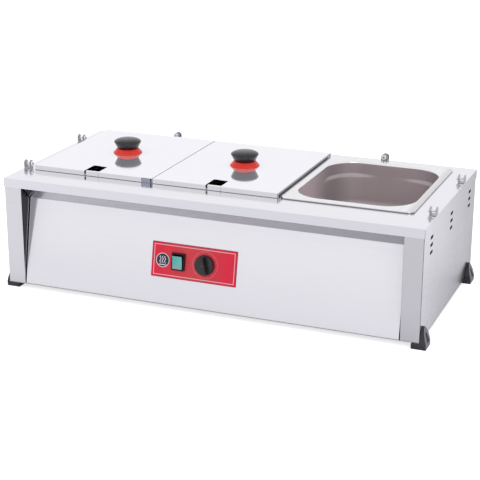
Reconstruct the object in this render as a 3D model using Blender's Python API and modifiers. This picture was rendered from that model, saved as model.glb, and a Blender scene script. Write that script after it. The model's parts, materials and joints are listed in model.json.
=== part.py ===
# Countertop bain marie with three half-size pans, as an assembly of separate pieces.
# Metres, +Z up. The origin is on the table under the middle of the case.
# +X is the right-hand side seen from the controls, and the controls face -Y.

import math

import bmesh
import bpy
from mathutils import Matrix, Vector

# Case
CASE_WIDTH = 0.870
CASE_DEPTH = 0.427
CASE_HEIGHT = 0.222
FOOT_LIFT = 0.0105
SHEET = 0.001
FIT_GAP = 0.0003
RIM_HEIGHT = 0.0185
POST_WIDTH = 0.039
RETURN_DEPTH = 0.045
BACK_FLANGE = 0.018

# Leaning front panel and the reveal above it
PANEL_TOP_SETBACK = 0.0345
PANEL_TOP_DROP = 0.0460
PANEL_SIDE_GAP = 0.002
PANEL_FOOT_FLANGE = 0.014
REVEAL_LAP = 0.002

# Side vents
VENT_LENGTH = 0.018
VENT_HEIGHT = 0.005
VENT_PITCH_UP = 0.0147
VENT_PITCH_BACK = 0.154
VENT_FRONT = 0.057
VENT_DROP = 0.0297
VENT_ROWS = 3
VENT_COLUMNS = 3

# Wells, pans and lids
WELL_COUNT = 3
DECK_SIDE_BAND = 0.0345
ROW_SHIFT = -0.0065
ROW_FRONT = 0.076
ROW_BACK = 0.0266
OPENING_CLEARANCE = 0.0027
LID_GAP = 0.0012
LID_HEIGHT = 0.0104
LID_SHEET = 0.0008
LID_CLEARANCE = 0.0005
LID_CORNER_SLIT = 0.0015
NOTCH_WIDTH = 0.027
NOTCH_LENGTH = 0.038
NOTCH_STRIP = 0.005
NOTCH_SLIT = 0.004
TAB_SLIT = 0.0006
END_TAB_WIDTH = 0.0195
END_TAB_GAP = 0.0025

PAN_WALL = 0.0008
PAN_LIP = 0.004
PAN_LIP_RADIUS = 0.001
PAN_OUTER_RADIUS = 0.011
PAN_RIM_SIDE = 0.0145
PAN_RIM_FRONT = 0.0195
PAN_MOUTH_RADIUS = 0.060
PAN_MOUTH_ROUND = 0.004
PAN_HEIGHT = 0.100
PAN_SHOULDER_DROP = 0.022
PAN_SHOULDER_FALL = 0.007
PAN_SHOULDER_STEP = 0.004
PAN_DRAFT = 0.003
PAN_FLOOR_RADIUS = 0.022
PAN_CORNER_STEPS = 6
PAN_FILLET_STEPS = 3

# Lid knobs
CAP_RADIUS = 0.0285
CAP_TOP_RADIUS = 0.0245
CAP_HEIGHT = 0.0225
CAP_DOME = 0.0025
CAP_BEVEL = 0.0065
NECK_RADIUS = 0.0215
COLLAR_RADIUS = 0.0305
COLLAR_HEIGHT = 0.0085
COLLAR_EDGE = 0.0015
LID_SCREW_RADIUS = 0.003
LID_SCREW_HEAD_RADIUS = 0.006
LID_SCREW_HEAD = 0.0025
LID_SCREW_BITE = 0.010

# Water tank
TANK_MARGIN = 0.0035
TANK_DEPTH = 0.125
TANK_WALL = 0.001
TANK_CORNER_RADIUS = 0.020
TANK_FLOOR_RADIUS = 0.008

# Heating element and its glands
ELEMENT_RADIUS = 0.00425
ELEMENT_FLOOR_GAP = 0.006
ELEMENT_WALL_GAP = 0.028
ELEMENT_BEND_RADIUS = 0.022
ELEMENT_SHIFT = 0.085
ELEMENT_LEG_PITCH = 0.050
ELEMENT_TAIL = 0.024
ELEMENT_GLAND_RADIUS = 0.010
ELEMENT_GLAND_LENGTH = 0.009

# Controls on the leaning panel, placed across the case and up the slope
LABEL_WIDTH = 0.180
LABEL_HEIGHT = 0.070
LABEL_THICKNESS = 0.0008
LABEL_SHIFT = -0.0246
LABEL_UP = 0.0885
SWITCH_SHIFT = -0.0570
SWITCH_BEZEL_WIDTH = 0.028
SWITCH_BEZEL_HEIGHT = 0.0345
SWITCH_BEZEL_RISE = 0.0045
SWITCH_BODY_WALL = 0.0012
SWITCH_BODY_DEPTH = 0.024
ROCKER_WIDTH = 0.0208
ROCKER_RADIUS = 0.0138
ROCKER_RISE = 0.0068
ROCKER_DIP = 0.0018
ROCKER_DROP = 0.003
ROCKER_CLEARANCE = 0.0004
KNOB_SHIFT = -0.0012
KNOB_RADIUS = 0.0203
KNOB_TOP_RADIUS = 0.0185
KNOB_SKIRT = 0.007
KNOB_GRIP_WIDTH = 0.010
KNOB_GRIP_RISE = 0.011
KNOB_STANDOFF = 0.001
KNOB_REST_TURN = math.radians(16.0)
SHAFT_RADIUS = 0.003
SHAFT_BITE = 0.010
SHAFT_IN_KNOB = 0.010
CONTROL_HOLE_CLEARANCE = 0.002
THERMOSTAT_WIDTH = 0.040
THERMOSTAT_HEIGHT = 0.034
THERMOSTAT_DEPTH = 0.026
THERMOSTAT_EDGE = 0.002

# Thermostat bulb and capillary
BULB_RADIUS = 0.003
BULB_LENGTH = 0.080
BULB_SHIFT = -0.045
BULB_WALL_GAP = 0.006
CAPILLARY_RADIUS = 0.001
CAPILLARY_BEND = 0.008

# Wiring
WIRE_RADIUS = 0.0014
WIRE_BEND = 0.007
WIRE_STUB = 0.012
BLOCK_WIDTH = 0.034
BLOCK_DEPTH = 0.020
BLOCK_HEIGHT = 0.016
BLOCK_BORE = 0.0022
BLOCK_INSET = 0.245
BLOCK_BACK = 0.056

# Cord entry in the back panel
ENTRY_INSET = 0.135
ENTRY_UP = 0.045
ENTRY_BORE = 0.0042
ENTRY_THREAD_RADIUS = 0.008
ENTRY_HEX_RADIUS = 0.0125
ENTRY_HEX_LENGTH = 0.006
ENTRY_DOME_LENGTH = 0.011
ENTRY_DOME_RADIUS = 0.0075
ENTRY_TAIL = 0.010
ENTRY_NUT_LENGTH = 0.005

# Back panel screws
BACK_SCREW_RADIUS = 0.002
BACK_SCREW_HEAD_RADIUS = 0.0042
BACK_SCREW_HEAD = 0.0022
BACK_SCREW_LENGTH = 0.008
BACK_SCREW_INSET_UP = 0.030

# Glass clamps on the deck
CLAMP_LENGTH = 0.014
CLAMP_WIDTH = 0.014
CLAMP_HEIGHT = 0.017
CLAMP_EAR = 0.002
CLAMP_BASE = 0.002
CLAMP_EDGE = 0.0005
CLAMP_FRONT = 0.088
CLAMP_INSET_BACK = 0.109
CLAMP_INSET_SIDE = 0.195
CLAMP_SCREW_RADIUS = 0.0025
CLAMP_SCREW_UP = 0.0085
CLAMP_HEAD_RADIUS = 0.0048
CLAMP_HEAD = 0.0032
CLAMP_SOCKET_RADIUS = 0.0022
CLAMP_SOCKET_DEPTH = 0.0018
CLAMP_TIP_GAP = 0.0015

# Corner feet
FOOT_WIDTH = 0.029
FOOT_LENGTH = 0.0345
FOOT_OUT_LEFT = 0.0055
FOOT_OUT_RIGHT = 0.012
FOOT_PROUD_RIGHT = 0.003
FOOT_INSET_LEFT = 0.003
FOOT_INSET_BACK = 0.022
FOOT_TAB_HEIGHT = 0.040
FOOT_TIP_SHARE = 0.5
FOOT_INSET_BORDER = 0.006
FOOT_INSET_DEPTH = 0.0015
FOOT_INSET_BOTTOM = 0.006
ARCH_SPRING_SHARE = 0.42

# Shared working values
ROUND_PROFILE = 0.5
OVERRUN = 0.002
MERGE = 0.00001
ROUND_SIDES = 24
SMALL_SIDES = 12
CORNER_STEPS = 4

# Places that follow from the sizes above
SKIN = SHEET + FIT_GAP
ENTRY_REACH = FIT_GAP + ENTRY_HEX_LENGTH + ENTRY_DOME_LENGTH - 2 * SKIN
FRONT_Y = (FOOT_PROUD_RIGHT - ENTRY_REACH - CASE_DEPTH) / 2
BACK_Y = FRONT_Y + CASE_DEPTH
MIDDLE_Y = (FRONT_Y + BACK_Y) / 2
DECK_TOP = FOOT_LIFT + CASE_HEIGHT
DECK_UNDER = DECK_TOP - SHEET
PANEL_BOTTOM = FOOT_LIFT + SKIN
PANEL_TOP = DECK_UNDER - FIT_GAP
FACE_Y = FRONT_Y + SKIN
SIDE_X = CASE_WIDTH / 2 - SKIN
RECESS_X = CASE_WIDTH / 2 - POST_WIDTH
PANEL_WIDTH = 2 * (RECESS_X - PANEL_SIDE_GAP)

WELL_PITCH = (CASE_WIDTH - 2 * DECK_SIDE_BAND) / WELL_COUNT
LID_DEPTH = CASE_DEPTH - ROW_FRONT - ROW_BACK
ROW_Y = FRONT_Y + ROW_FRONT + LID_DEPTH / 2
LID_WIDTH = WELL_PITCH - LID_GAP
PAN_WIDTH = LID_WIDTH - 2 * (LID_SHEET + LID_CLEARANCE)
PAN_LENGTH = LID_DEPTH - 2 * (LID_SHEET + LID_CLEARANCE)
MOUTH_X = PAN_WIDTH / 2 - PAN_RIM_SIDE
MOUTH_Y = PAN_LENGTH / 2 - PAN_RIM_FRONT
OPENING_WIDTH = 2 * (MOUTH_X + PAN_WALL + OPENING_CLEARANCE)
OPENING_LENGTH = 2 * (MOUTH_Y + PAN_WALL + OPENING_CLEARANCE)
WELL_NAMES = ("left", "middle", "right")
WELL_XS = [ROW_SHIFT + (i - (WELL_COUNT - 1) / 2) * WELL_PITCH for i in range(WELL_COUNT)]
LIDDED_WELLS = WELL_NAMES[:2]
LID_TOP = DECK_TOP + LID_HEIGHT

TANK_HALF_X = (WELL_COUNT - 1) / 2 * WELL_PITCH + OPENING_WIDTH / 2 + TANK_MARGIN
TANK_HALF_Y = OPENING_LENGTH / 2 + TANK_MARGIN
TANK_TOP = DECK_UNDER - FIT_GAP
TANK_FLOOR = TANK_TOP - TANK_DEPTH
TANK_FRONT_Y = ROW_Y - TANK_HALF_Y
ELEMENT_Z = TANK_FLOOR + ELEMENT_FLOOR_GAP + ELEMENT_RADIUS

SLOPE_RUN = PANEL_TOP_SETBACK - SKIN
SLOPE_RISE = CASE_HEIGHT - SKIN - PANEL_TOP_DROP
LEAN = math.atan2(SLOPE_RUN, SLOPE_RISE)
LABEL_FACE = FIT_GAP + LABEL_THICKNESS
BODY_BACK = -(SHEET + FIT_GAP)
ROCKER_PIVOT = LABEL_FACE + FIT_GAP
RECESS_HALF = ROCKER_RADIUS + ROCKER_CLEARANCE
RECESS_WIDTH_HALF = ROCKER_WIDTH / 2 + ROCKER_CLEARANCE
ROCKER_TILT = math.atan2(ROCKER_DIP, math.sqrt(ROCKER_RADIUS ** 2 - ROCKER_RISE ** 2))
RECESS_FLOOR = ROCKER_PIVOT - ROCKER_DROP - ROCKER_RADIUS * math.sin(ROCKER_TILT) - ROCKER_CLEARANCE


# Scene set-up

for item in list(bpy.data.objects):
    bpy.data.objects.remove(item, do_unlink=True)


def add_collection(name):
    group = bpy.data.collections.new(name)
    bpy.context.scene.collection.children.link(group)
    return group


PARTS = add_collection("bain_marie")
CUTTERS = add_collection("cutters")


def finish(name, colour, roughness, metallic):
    made = bpy.data.materials.new(name)
    made.use_nodes = True
    shader = made.node_tree.nodes["Principled BSDF"]
    shader.inputs["Base Color"].default_value = (*colour, 1.0)
    shader.inputs["Roughness"].default_value = roughness
    shader.inputs["Metallic"].default_value = metallic
    made.diffuse_color = (*colour, 1.0)
    return made


POLISHED = finish("polished_steel", (0.80, 0.80, 0.82), 0.12, 1.0)
SATIN = finish("satin_steel", (0.66, 0.66, 0.68), 0.30, 1.0)
PRESSED = finish("pressed_pan_steel", (0.48, 0.43, 0.41), 0.34, 1.0)
PLATED = finish("plated_steel", (0.72, 0.72, 0.75), 0.22, 1.0)
BRASS = finish("brass", (0.70, 0.54, 0.26), 0.30, 1.0)
COPPER = finish("copper", (0.72, 0.42, 0.30), 0.35, 1.0)
BLACK = finish("black_phenolic", (0.025, 0.022, 0.024), 0.22, 0.0)
RUBBER = finish("black_foot_plastic", (0.035, 0.034, 0.037), 0.50, 0.0)
RED = finish("red_collar_plastic", (0.62, 0.05, 0.04), 0.30, 0.0)
LABEL_RED = finish("red_label", (0.70, 0.05, 0.09), 0.35, 0.0)
GREEN = finish("green_lens", (0.12, 0.45, 0.36), 0.20, 0.0)
WHITE = finish("white_ceramic", (0.80, 0.79, 0.76), 0.40, 0.0)
SHEATH = finish("wire_sheath", (0.30, 0.32, 0.36), 0.45, 0.0)


# Building blocks

def add_object(
        name, mesh, material, group=PARTS, location=(0, 0, 0), rotation=(0, 0, 0), parent=None):
    made = bpy.data.objects.new(name, mesh)
    made.location = location
    made.rotation_euler = rotation
    made.parent = parent
    if material:
        made.data.materials.append(material)
    group.objects.link(made)
    return made


def mesh_from(bm, name):
    mesh = bpy.data.meshes.new(name)
    bm.to_mesh(mesh)
    bm.free()
    return mesh


def add_part(name, bm, material, **place):
    return add_object(name, mesh_from(bm, name), material, PARTS, **place)


def add_cutter(name, bm, **place):
    made = add_object(name, mesh_from(bm, name), None, CUTTERS, **place)
    made.hide_render = True
    made.display_type = "WIRE"
    return made


def cut(target, tool, operation="DIFFERENCE"):
    step = target.modifiers.new(tool.name, "BOOLEAN")
    step.operation = operation
    step.solver = "EXACT"
    step.object = tool


def thicken(target, thickness, offset=-1.0):
    step = target.modifiers.new("thickness", "SOLIDIFY")
    step.thickness = thickness
    step.offset = offset
    step.use_even_offset = True


def box(width, depth, height, bottom=0.0):
    # A box centred in x and y that stands on z = bottom
    bm = bmesh.new()
    stretch = Matrix.Diagonal((width, depth, height, 1))
    bmesh.ops.create_cube(bm, size=1, matrix=Matrix.Translation((0, 0, bottom + height / 2)) @ stretch)
    return bm


def upright_edges(bm):
    return [e for e in bm.edges if abs(e.verts[0].co.z - e.verts[1].co.z) > MERGE]


def rounded_box(width, depth, height, radius, bottom=0.0, steps=CORNER_STEPS):
    bm = box(width, depth, height, bottom)
    bmesh.ops.bevel(
        bm, geom=upright_edges(bm), offset=radius, segments=steps, profile=ROUND_PROFILE, affect="EDGES")
    return bm


def cylinder(radius, height, bottom=0.0, sides=SMALL_SIDES):
    bm = bmesh.new()
    bmesh.ops.create_cone(
        bm, cap_ends=True, segments=sides, radius1=radius, radius2=radius, depth=height,
        matrix=Matrix.Translation((0, 0, bottom + height / 2)))
    return bm


def turned(name, profile, material, sides=ROUND_SIDES, closed=False, **place):
    # A profile of (radius, height) pairs, down its outer side, turned about z
    bm = bmesh.new()
    verts = [bm.verts.new((radius, 0, height)) for radius, height in profile]
    pairs = list(zip(verts, verts[1:]))
    if closed:
        pairs.append((verts[-1], verts[0]))
    for first, second in pairs:
        bm.edges.new((first, second))
    made = add_part(name, bm, material, **place)
    step = made.modifiers.new("turn", "SCREW")
    step.axis = "Z"
    step.steps = sides
    step.render_steps = sides
    step.use_merge_vertices = True
    step.merge_threshold = MERGE
    step.use_smooth_shade = False
    return made


def folded_sheet(name, path, span, outward, thickness, material):
    # A strip along a bent path, pushed along span, thickened away from its outer face
    bm = bmesh.new()
    verts = [bm.verts.new(point) for point in path]
    edges = [bm.edges.new(pair) for pair in zip(verts, verts[1:])]
    pushed = bmesh.ops.extrude_edge_only(bm, edges=edges)
    moved = [item for item in pushed["geom"] if isinstance(item, bmesh.types.BMVert)]
    bmesh.ops.translate(bm, verts=moved, vec=span)
    bmesh.ops.recalc_face_normals(bm, faces=bm.faces)
    if edges[0].link_faces[0].normal.dot(Vector(outward)) < 0:
        bmesh.ops.reverse_faces(bm, faces=bm.faces)
    made = add_part(name, bm, material)
    thicken(made, thickness)
    return made


def welded_mesh(source, name):
    # The evaluated mesh of a curve, with its loose caps joined
    graph = bpy.context.evaluated_depsgraph_get()
    mesh = bpy.data.meshes.new_from_object(source.evaluated_get(graph))
    mesh.name = name
    bm = bmesh.new()
    bm.from_mesh(mesh)
    bmesh.ops.remove_doubles(bm, verts=bm.verts, dist=MERGE)
    bmesh.ops.recalc_face_normals(bm, faces=bm.faces)
    bm.to_mesh(mesh)
    bm.free()
    mesh.materials.clear()
    bpy.data.objects.remove(source, do_unlink=True)
    return mesh


def add_spline(name, points, closed):
    curve = bpy.data.curves.new(name, "CURVE")
    spline = curve.splines.new("POLY")
    spline.points.add(len(points) - 1)
    for target, point in zip(spline.points, points):
        target.co = (*point, 1.0)
    spline.use_cyclic_u = closed
    source = bpy.data.objects.new(name + "_curve", curve)
    PARTS.objects.link(source)
    return source


def outline_mesh(name, points, thickness):
    # A flat outline in x and y, as a slab of this thickness centred on z = 0
    source = add_spline(name, [(x, y, 0) for x, y in points], True)
    source.data.dimensions = "2D"
    source.data.fill_mode = "BOTH"
    source.data.extrude = thickness / 2
    return welded_mesh(source, name)


def tube(name, points, radius, material, sides_step=2):
    source = add_spline(name, points, False)
    source.data.dimensions = "3D"
    source.data.bevel_depth = radius
    source.data.bevel_resolution = sides_step
    source.data.use_fill_caps = True
    return add_object(name, welded_mesh(source, name), material)


def rounded_route(corners, radius, steps=CORNER_STEPS):
    # The corner points of a route with an arc of this radius at each inner corner
    corners = [Vector(corner) for corner in corners]
    points = [corners[0]]
    for before, corner, after in zip(corners, corners[1:], corners[2:]):
        back = (before - corner).normalized()
        ahead = (after - corner).normalized()
        half = back.angle(ahead) / 2
        reach = radius / math.tan(half)
        centre = corner + (back + ahead).normalized() * (radius / math.sin(half))
        start = corner + back * reach - centre
        end = corner + ahead * reach - centre
        sweep = start.angle(end)
        for i in range(steps + 1):
            share = i / steps
            blend = start * math.sin((1 - share) * sweep) + end * math.sin(share * sweep)
            points.append(centre + blend / math.sin(sweep))
    points.append(corners[-1])
    return points


def ring(half_x, half_y, radius, height, steps):
    # A rounded rectangle of points at one height
    points = []
    for quarter, (side_x, side_y) in enumerate(((1, 1), (-1, 1), (-1, -1), (1, -1))):
        for i in range(steps + 1):
            turn = (quarter + i / steps) * math.pi / 2
            points.append(Vector((
                side_x * (half_x - radius) + radius * math.cos(turn),
                side_y * (half_y - radius) + radius * math.sin(turn),
                height)))
    return points


def loft(rings):
    # Quads from ring to ring, and one face across the last ring
    bm = bmesh.new()
    rows = [[bm.verts.new(point) for point in points] for points in rings]
    for upper, lower in zip(rows, rows[1:]):
        for i in range(len(upper)):
            j = (i + 1) % len(upper)
            bm.faces.new((upper[i], upper[j], lower[j], lower[i]))
    bm.faces.new(rows[-1])
    return bm


def along_y(bm, x, y, z):
    # Turns a piece built along z so that it runs along -y from (x, y, z)
    bmesh.ops.rotate(bm, verts=bm.verts, cent=(0, 0, 0), matrix=Matrix.Rotation(math.pi / 2, 3, "X"))
    bmesh.ops.translate(bm, verts=bm.verts, vec=(x, y, z))
    return bm


# Case

def make_deck():
    bm = box(CASE_WIDTH, CASE_DEPTH, RIM_HEIGHT, DECK_TOP - RIM_HEIGHT)
    floor = [face for face in bm.faces if face.normal.z < -0.5]
    bmesh.ops.delete(bm, geom=floor, context="FACES")
    deck = add_part("deck", bm, POLISHED, location=(0, MIDDLE_Y, 0))
    thicken(deck, SHEET)
    for name, x in zip(WELL_NAMES, WELL_XS):
        bm = rounded_box(
            OPENING_WIDTH, OPENING_LENGTH, SHEET + 2 * OVERRUN,
            PAN_MOUTH_RADIUS + PAN_WALL + OPENING_CLEARANCE, DECK_UNDER - OVERRUN)
        cut(deck, add_cutter(f"cut_opening_{name}", bm, location=(x, ROW_Y, 0)))


def vent_cutter(side):
    # Nine flat slots pushed through one side wall
    bm = bmesh.new()
    for column in range(VENT_COLUMNS):
        for row in range(VENT_ROWS):
            slot = rounded_box(VENT_HEIGHT, VENT_LENGTH, SHEET + 2 * OVERRUN, VENT_HEIGHT / 2 - MERGE)
            upright = Matrix.Rotation(math.pi / 2, 3, "Y")
            bmesh.ops.rotate(slot, verts=slot.verts, cent=(0, 0, 0), matrix=upright)
            y = FRONT_Y + VENT_FRONT + column * VENT_PITCH_BACK
            z = DECK_TOP - VENT_DROP - row * VENT_PITCH_UP
            bmesh.ops.translate(slot, verts=slot.verts, vec=(0, y, z))
            piece = mesh_from(slot, "slot")
            bm.from_mesh(piece)
            bpy.data.meshes.remove(piece)
    start = side * (SIDE_X - SHEET / 2) - SHEET / 2 - OVERRUN
    return add_cutter(f"cut_vents_{'right' if side > 0 else 'left'}", bm, location=(start, 0, 0))


def back_screw_places(side):
    x = side * (SIDE_X - BACK_FLANGE / 2)
    return [(x, PANEL_BOTTOM + BACK_SCREW_INSET_UP), (x, PANEL_TOP - BACK_SCREW_INSET_UP)]


def back_screw_cutter(side, label):
    bm = bmesh.new()
    for x, z in back_screw_places(side):
        hole = cylinder(BACK_SCREW_RADIUS + FIT_GAP, 2 * SHEET + FIT_GAP + 2 * OVERRUN)
        along_y(hole, x, BACK_Y - SKIN + OVERRUN, z)
        piece = mesh_from(hole, "hole")
        bm.from_mesh(piece)
        bpy.data.meshes.remove(piece)
    return add_cutter(f"cut_back_screws_{label}", bm)


def make_side_panel(side, label):
    back_y = BACK_Y - SKIN
    path = [
        (side * (SIDE_X - BACK_FLANGE), back_y, PANEL_BOTTOM),
        (side * SIDE_X, back_y, PANEL_BOTTOM),
        (side * SIDE_X, FACE_Y, PANEL_BOTTOM),
        (side * RECESS_X, FACE_Y, PANEL_BOTTOM),
        (side * RECESS_X, FACE_Y + RETURN_DEPTH, PANEL_BOTTOM),
    ]
    span = (0, 0, PANEL_TOP - PANEL_BOTTOM)
    panel = folded_sheet(f"side_panel_{label}", path, span, (0, 1, 0), SHEET, SATIN)
    cut(panel, vent_cutter(side))
    cut(panel, back_screw_cutter(side, label))


def make_front_panel(frame):
    top = (FRONT_Y + PANEL_TOP_SETBACK, DECK_TOP - PANEL_TOP_DROP)
    path = [
        (FACE_Y + PANEL_FOOT_FLANGE, PANEL_BOTTOM),
        (FACE_Y, PANEL_BOTTOM),
        top,
        (FACE_Y, DECK_TOP - RIM_HEIGHT + REVEAL_LAP),
    ]
    path = [(-PANEL_WIDTH / 2, y, z) for y, z in path]
    panel = folded_sheet("front_panel", path, (PANEL_WIDTH, 0, 0), (0, 0, -1), SHEET, POLISHED)
    for tool in control_cutters(frame, "panel", -SHEET - OVERRUN, SHEET + 2 * OVERRUN):
        cut(panel, tool)


def make_back_panel():
    width = 2 * (SIDE_X - SKIN)
    height = PANEL_TOP - PANEL_BOTTOM
    bm = box(width, SHEET, height, PANEL_BOTTOM)
    panel = add_part("back_panel", bm, SATIN, location=(0, BACK_Y - SKIN - SKIN - SHEET / 2, 0))
    hole = cylinder(ENTRY_THREAD_RADIUS + FIT_GAP, SHEET + 2 * OVERRUN, -SHEET - OVERRUN, ROUND_SIDES)
    cut(panel, add_cutter("cut_cord_entry", hole, **entry_place()))
    for side, label in ((-1, "left"), (1, "right")):
        cut(panel, bpy.data.objects[f"cut_back_screws_{label}"])


def make_base_plate():
    bm = box(2 * SIDE_X, CASE_DEPTH - 2 * SKIN, SHEET, FOOT_LIFT)
    add_part("base_plate", bm, SATIN, location=(0, MIDDLE_Y, 0))


# Corner feet

def arch(width, height):
    # A pointed arch standing on y = 0, with round flanks that spring from a share of its height
    spring = height * ARCH_SPRING_SHARE
    rise = height - spring
    half = width / 2
    radius = (rise ** 2 + half ** 2) / (2 * half)
    flank = []
    for i in range(CORNER_STEPS + 1):
        turn = math.asin(rise / radius) * i / CORNER_STEPS
        flank.append((half - radius + radius * math.cos(turn), spring + radius * math.sin(turn)))
    mirrored = [(-x, y) for x, y in reversed(flank[:-1])]
    return [(-half, 0), (half, 0)] + flank + mirrored


def make_foot(name, side, outward, middle_y):
    # The sole lies under the base plate, and an arched tab stands against the side wall
    outer_x = CASE_WIDTH / 2 + outward
    inner_x = outer_x - FOOT_WIDTH
    wall_x = SIDE_X + FIT_GAP
    sole_height = FOOT_LIFT - FIT_GAP
    turn = (math.pi / 2, 0, math.pi / 2)

    tab_depth = outer_x - wall_x
    mesh = outline_mesh(name, arch(FOOT_LENGTH, FOOT_TAB_HEIGHT), tab_depth)
    place = (side * (wall_x + tab_depth / 2), middle_y, 0)
    foot = add_object(name, mesh, RUBBER, location=place, rotation=turn)

    bm = box(outer_x - inner_x, FOOT_LENGTH, sole_height)
    place = (side * (outer_x + inner_x) / 2, middle_y, 0)
    cut(foot, add_cutter(f"join_sole_{name}", bm, location=place), "UNION")

    # The outer face leans in from the top of the sole to the arch's point
    lean = math.atan2(tab_depth * (1 - FOOT_TIP_SHARE), FOOT_TAB_HEIGHT - sole_height)
    bm = box(tab_depth, FOOT_LENGTH + 2 * OVERRUN, 2 * FOOT_TAB_HEIGHT)
    bmesh.ops.translate(bm, verts=bm.verts, vec=(tab_depth / 2, 0, 0))
    place = (side * outer_x, middle_y, sole_height)
    facing = 0 if side > 0 else math.pi
    cut(foot, add_cutter(f"cut_lean_{name}", bm, location=place, rotation=(0, -lean, facing)))

    inset_width = FOOT_LENGTH - 2 * FOOT_INSET_BORDER
    inset_height = FOOT_TAB_HEIGHT - FOOT_INSET_BORDER - FOOT_INSET_BOTTOM
    outline = arch(inset_width, inset_height)
    mesh = outline_mesh(f"cut_inset_{name}", outline, FOOT_INSET_DEPTH + OVERRUN)
    inset = add_object(f"cut_inset_{name}", mesh, None, CUTTERS)
    inset.hide_render = True
    inset.display_type = "WIRE"
    tilt = -lean if side > 0 else lean
    middle = outer_x + (OVERRUN - FOOT_INSET_DEPTH) / 2
    inset.matrix_world = (
        Matrix.Translation((side * outer_x, middle_y, sole_height))
        @ Matrix.Rotation(tilt, 4, "Y")
        @ Matrix.Translation((side * (middle - outer_x), 0, FOOT_INSET_BOTTOM - sole_height))
        @ Matrix.Rotation(math.pi / 2, 4, "Z")
        @ Matrix.Rotation(math.pi / 2, 4, "X"))
    cut(foot, inset)


def make_feet():
    front_left = FRONT_Y + FOOT_INSET_LEFT + FOOT_LENGTH / 2
    front_right = FRONT_Y - FOOT_PROUD_RIGHT + FOOT_LENGTH / 2
    back = BACK_Y - FOOT_INSET_BACK - FOOT_LENGTH / 2
    make_foot("foot_front_left", -1, FOOT_OUT_LEFT, front_left)
    make_foot("foot_front_right", 1, FOOT_OUT_RIGHT, front_right)
    make_foot("foot_back_left", -1, FOOT_OUT_LEFT, back)
    make_foot("foot_back_right", 1, FOOT_OUT_RIGHT, back)


# Wells

def make_pan(name, x):
    top = DECK_TOP + PAN_LIP
    half_x = PAN_WIDTH / 2
    half_y = PAN_LENGTH / 2
    floor = top - PAN_HEIGHT
    profile = [
        (0, 0, PAN_OUTER_RADIUS, DECK_TOP + FIT_GAP),
        (0, 0, PAN_OUTER_RADIUS, top - PAN_LIP_RADIUS),
        (PAN_LIP_RADIUS, PAN_LIP_RADIUS, PAN_OUTER_RADIUS - PAN_LIP_RADIUS, top),
        (PAN_RIM_SIDE - PAN_MOUTH_ROUND, PAN_RIM_FRONT - PAN_MOUTH_ROUND,
         PAN_MOUTH_RADIUS + PAN_MOUTH_ROUND, top),
    ]
    for i in (1, 2):
        turn = math.pi / 4 * i
        inset = PAN_MOUTH_ROUND * (1 - math.sin(turn))
        fall = PAN_MOUTH_ROUND * (1 - math.cos(turn))
        profile.append((PAN_RIM_SIDE - inset, PAN_RIM_FRONT - inset, PAN_MOUTH_RADIUS + inset, top - fall))
    shoulder = top - PAN_SHOULDER_DROP
    wall = [
        (0, shoulder),
        (PAN_SHOULDER_STEP, shoulder - PAN_SHOULDER_FALL),
        (PAN_SHOULDER_STEP + PAN_DRAFT, floor + PAN_FLOOR_RADIUS),
    ]
    for i in range(1, PAN_FILLET_STEPS + 1):
        turn = math.pi / 2 * i / PAN_FILLET_STEPS
        wall.append((
            PAN_SHOULDER_STEP + PAN_DRAFT + PAN_FLOOR_RADIUS * (1 - math.cos(turn)),
            floor + PAN_FLOOR_RADIUS * (1 - math.sin(turn))))
    for inset, height in wall:
        radius = PAN_MOUTH_RADIUS - inset
        profile.append((PAN_RIM_SIDE + inset, PAN_RIM_FRONT + inset, radius, height))
    rings = [
        ring(half_x - inset_x, half_y - inset_y, radius, height, PAN_CORNER_STEPS)
        for inset_x, inset_y, radius, height in profile]
    pan = add_part(f"pan_{name}", loft(rings), PRESSED, location=(x, ROW_Y, 0))
    thicken(pan, PAN_WALL)


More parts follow.
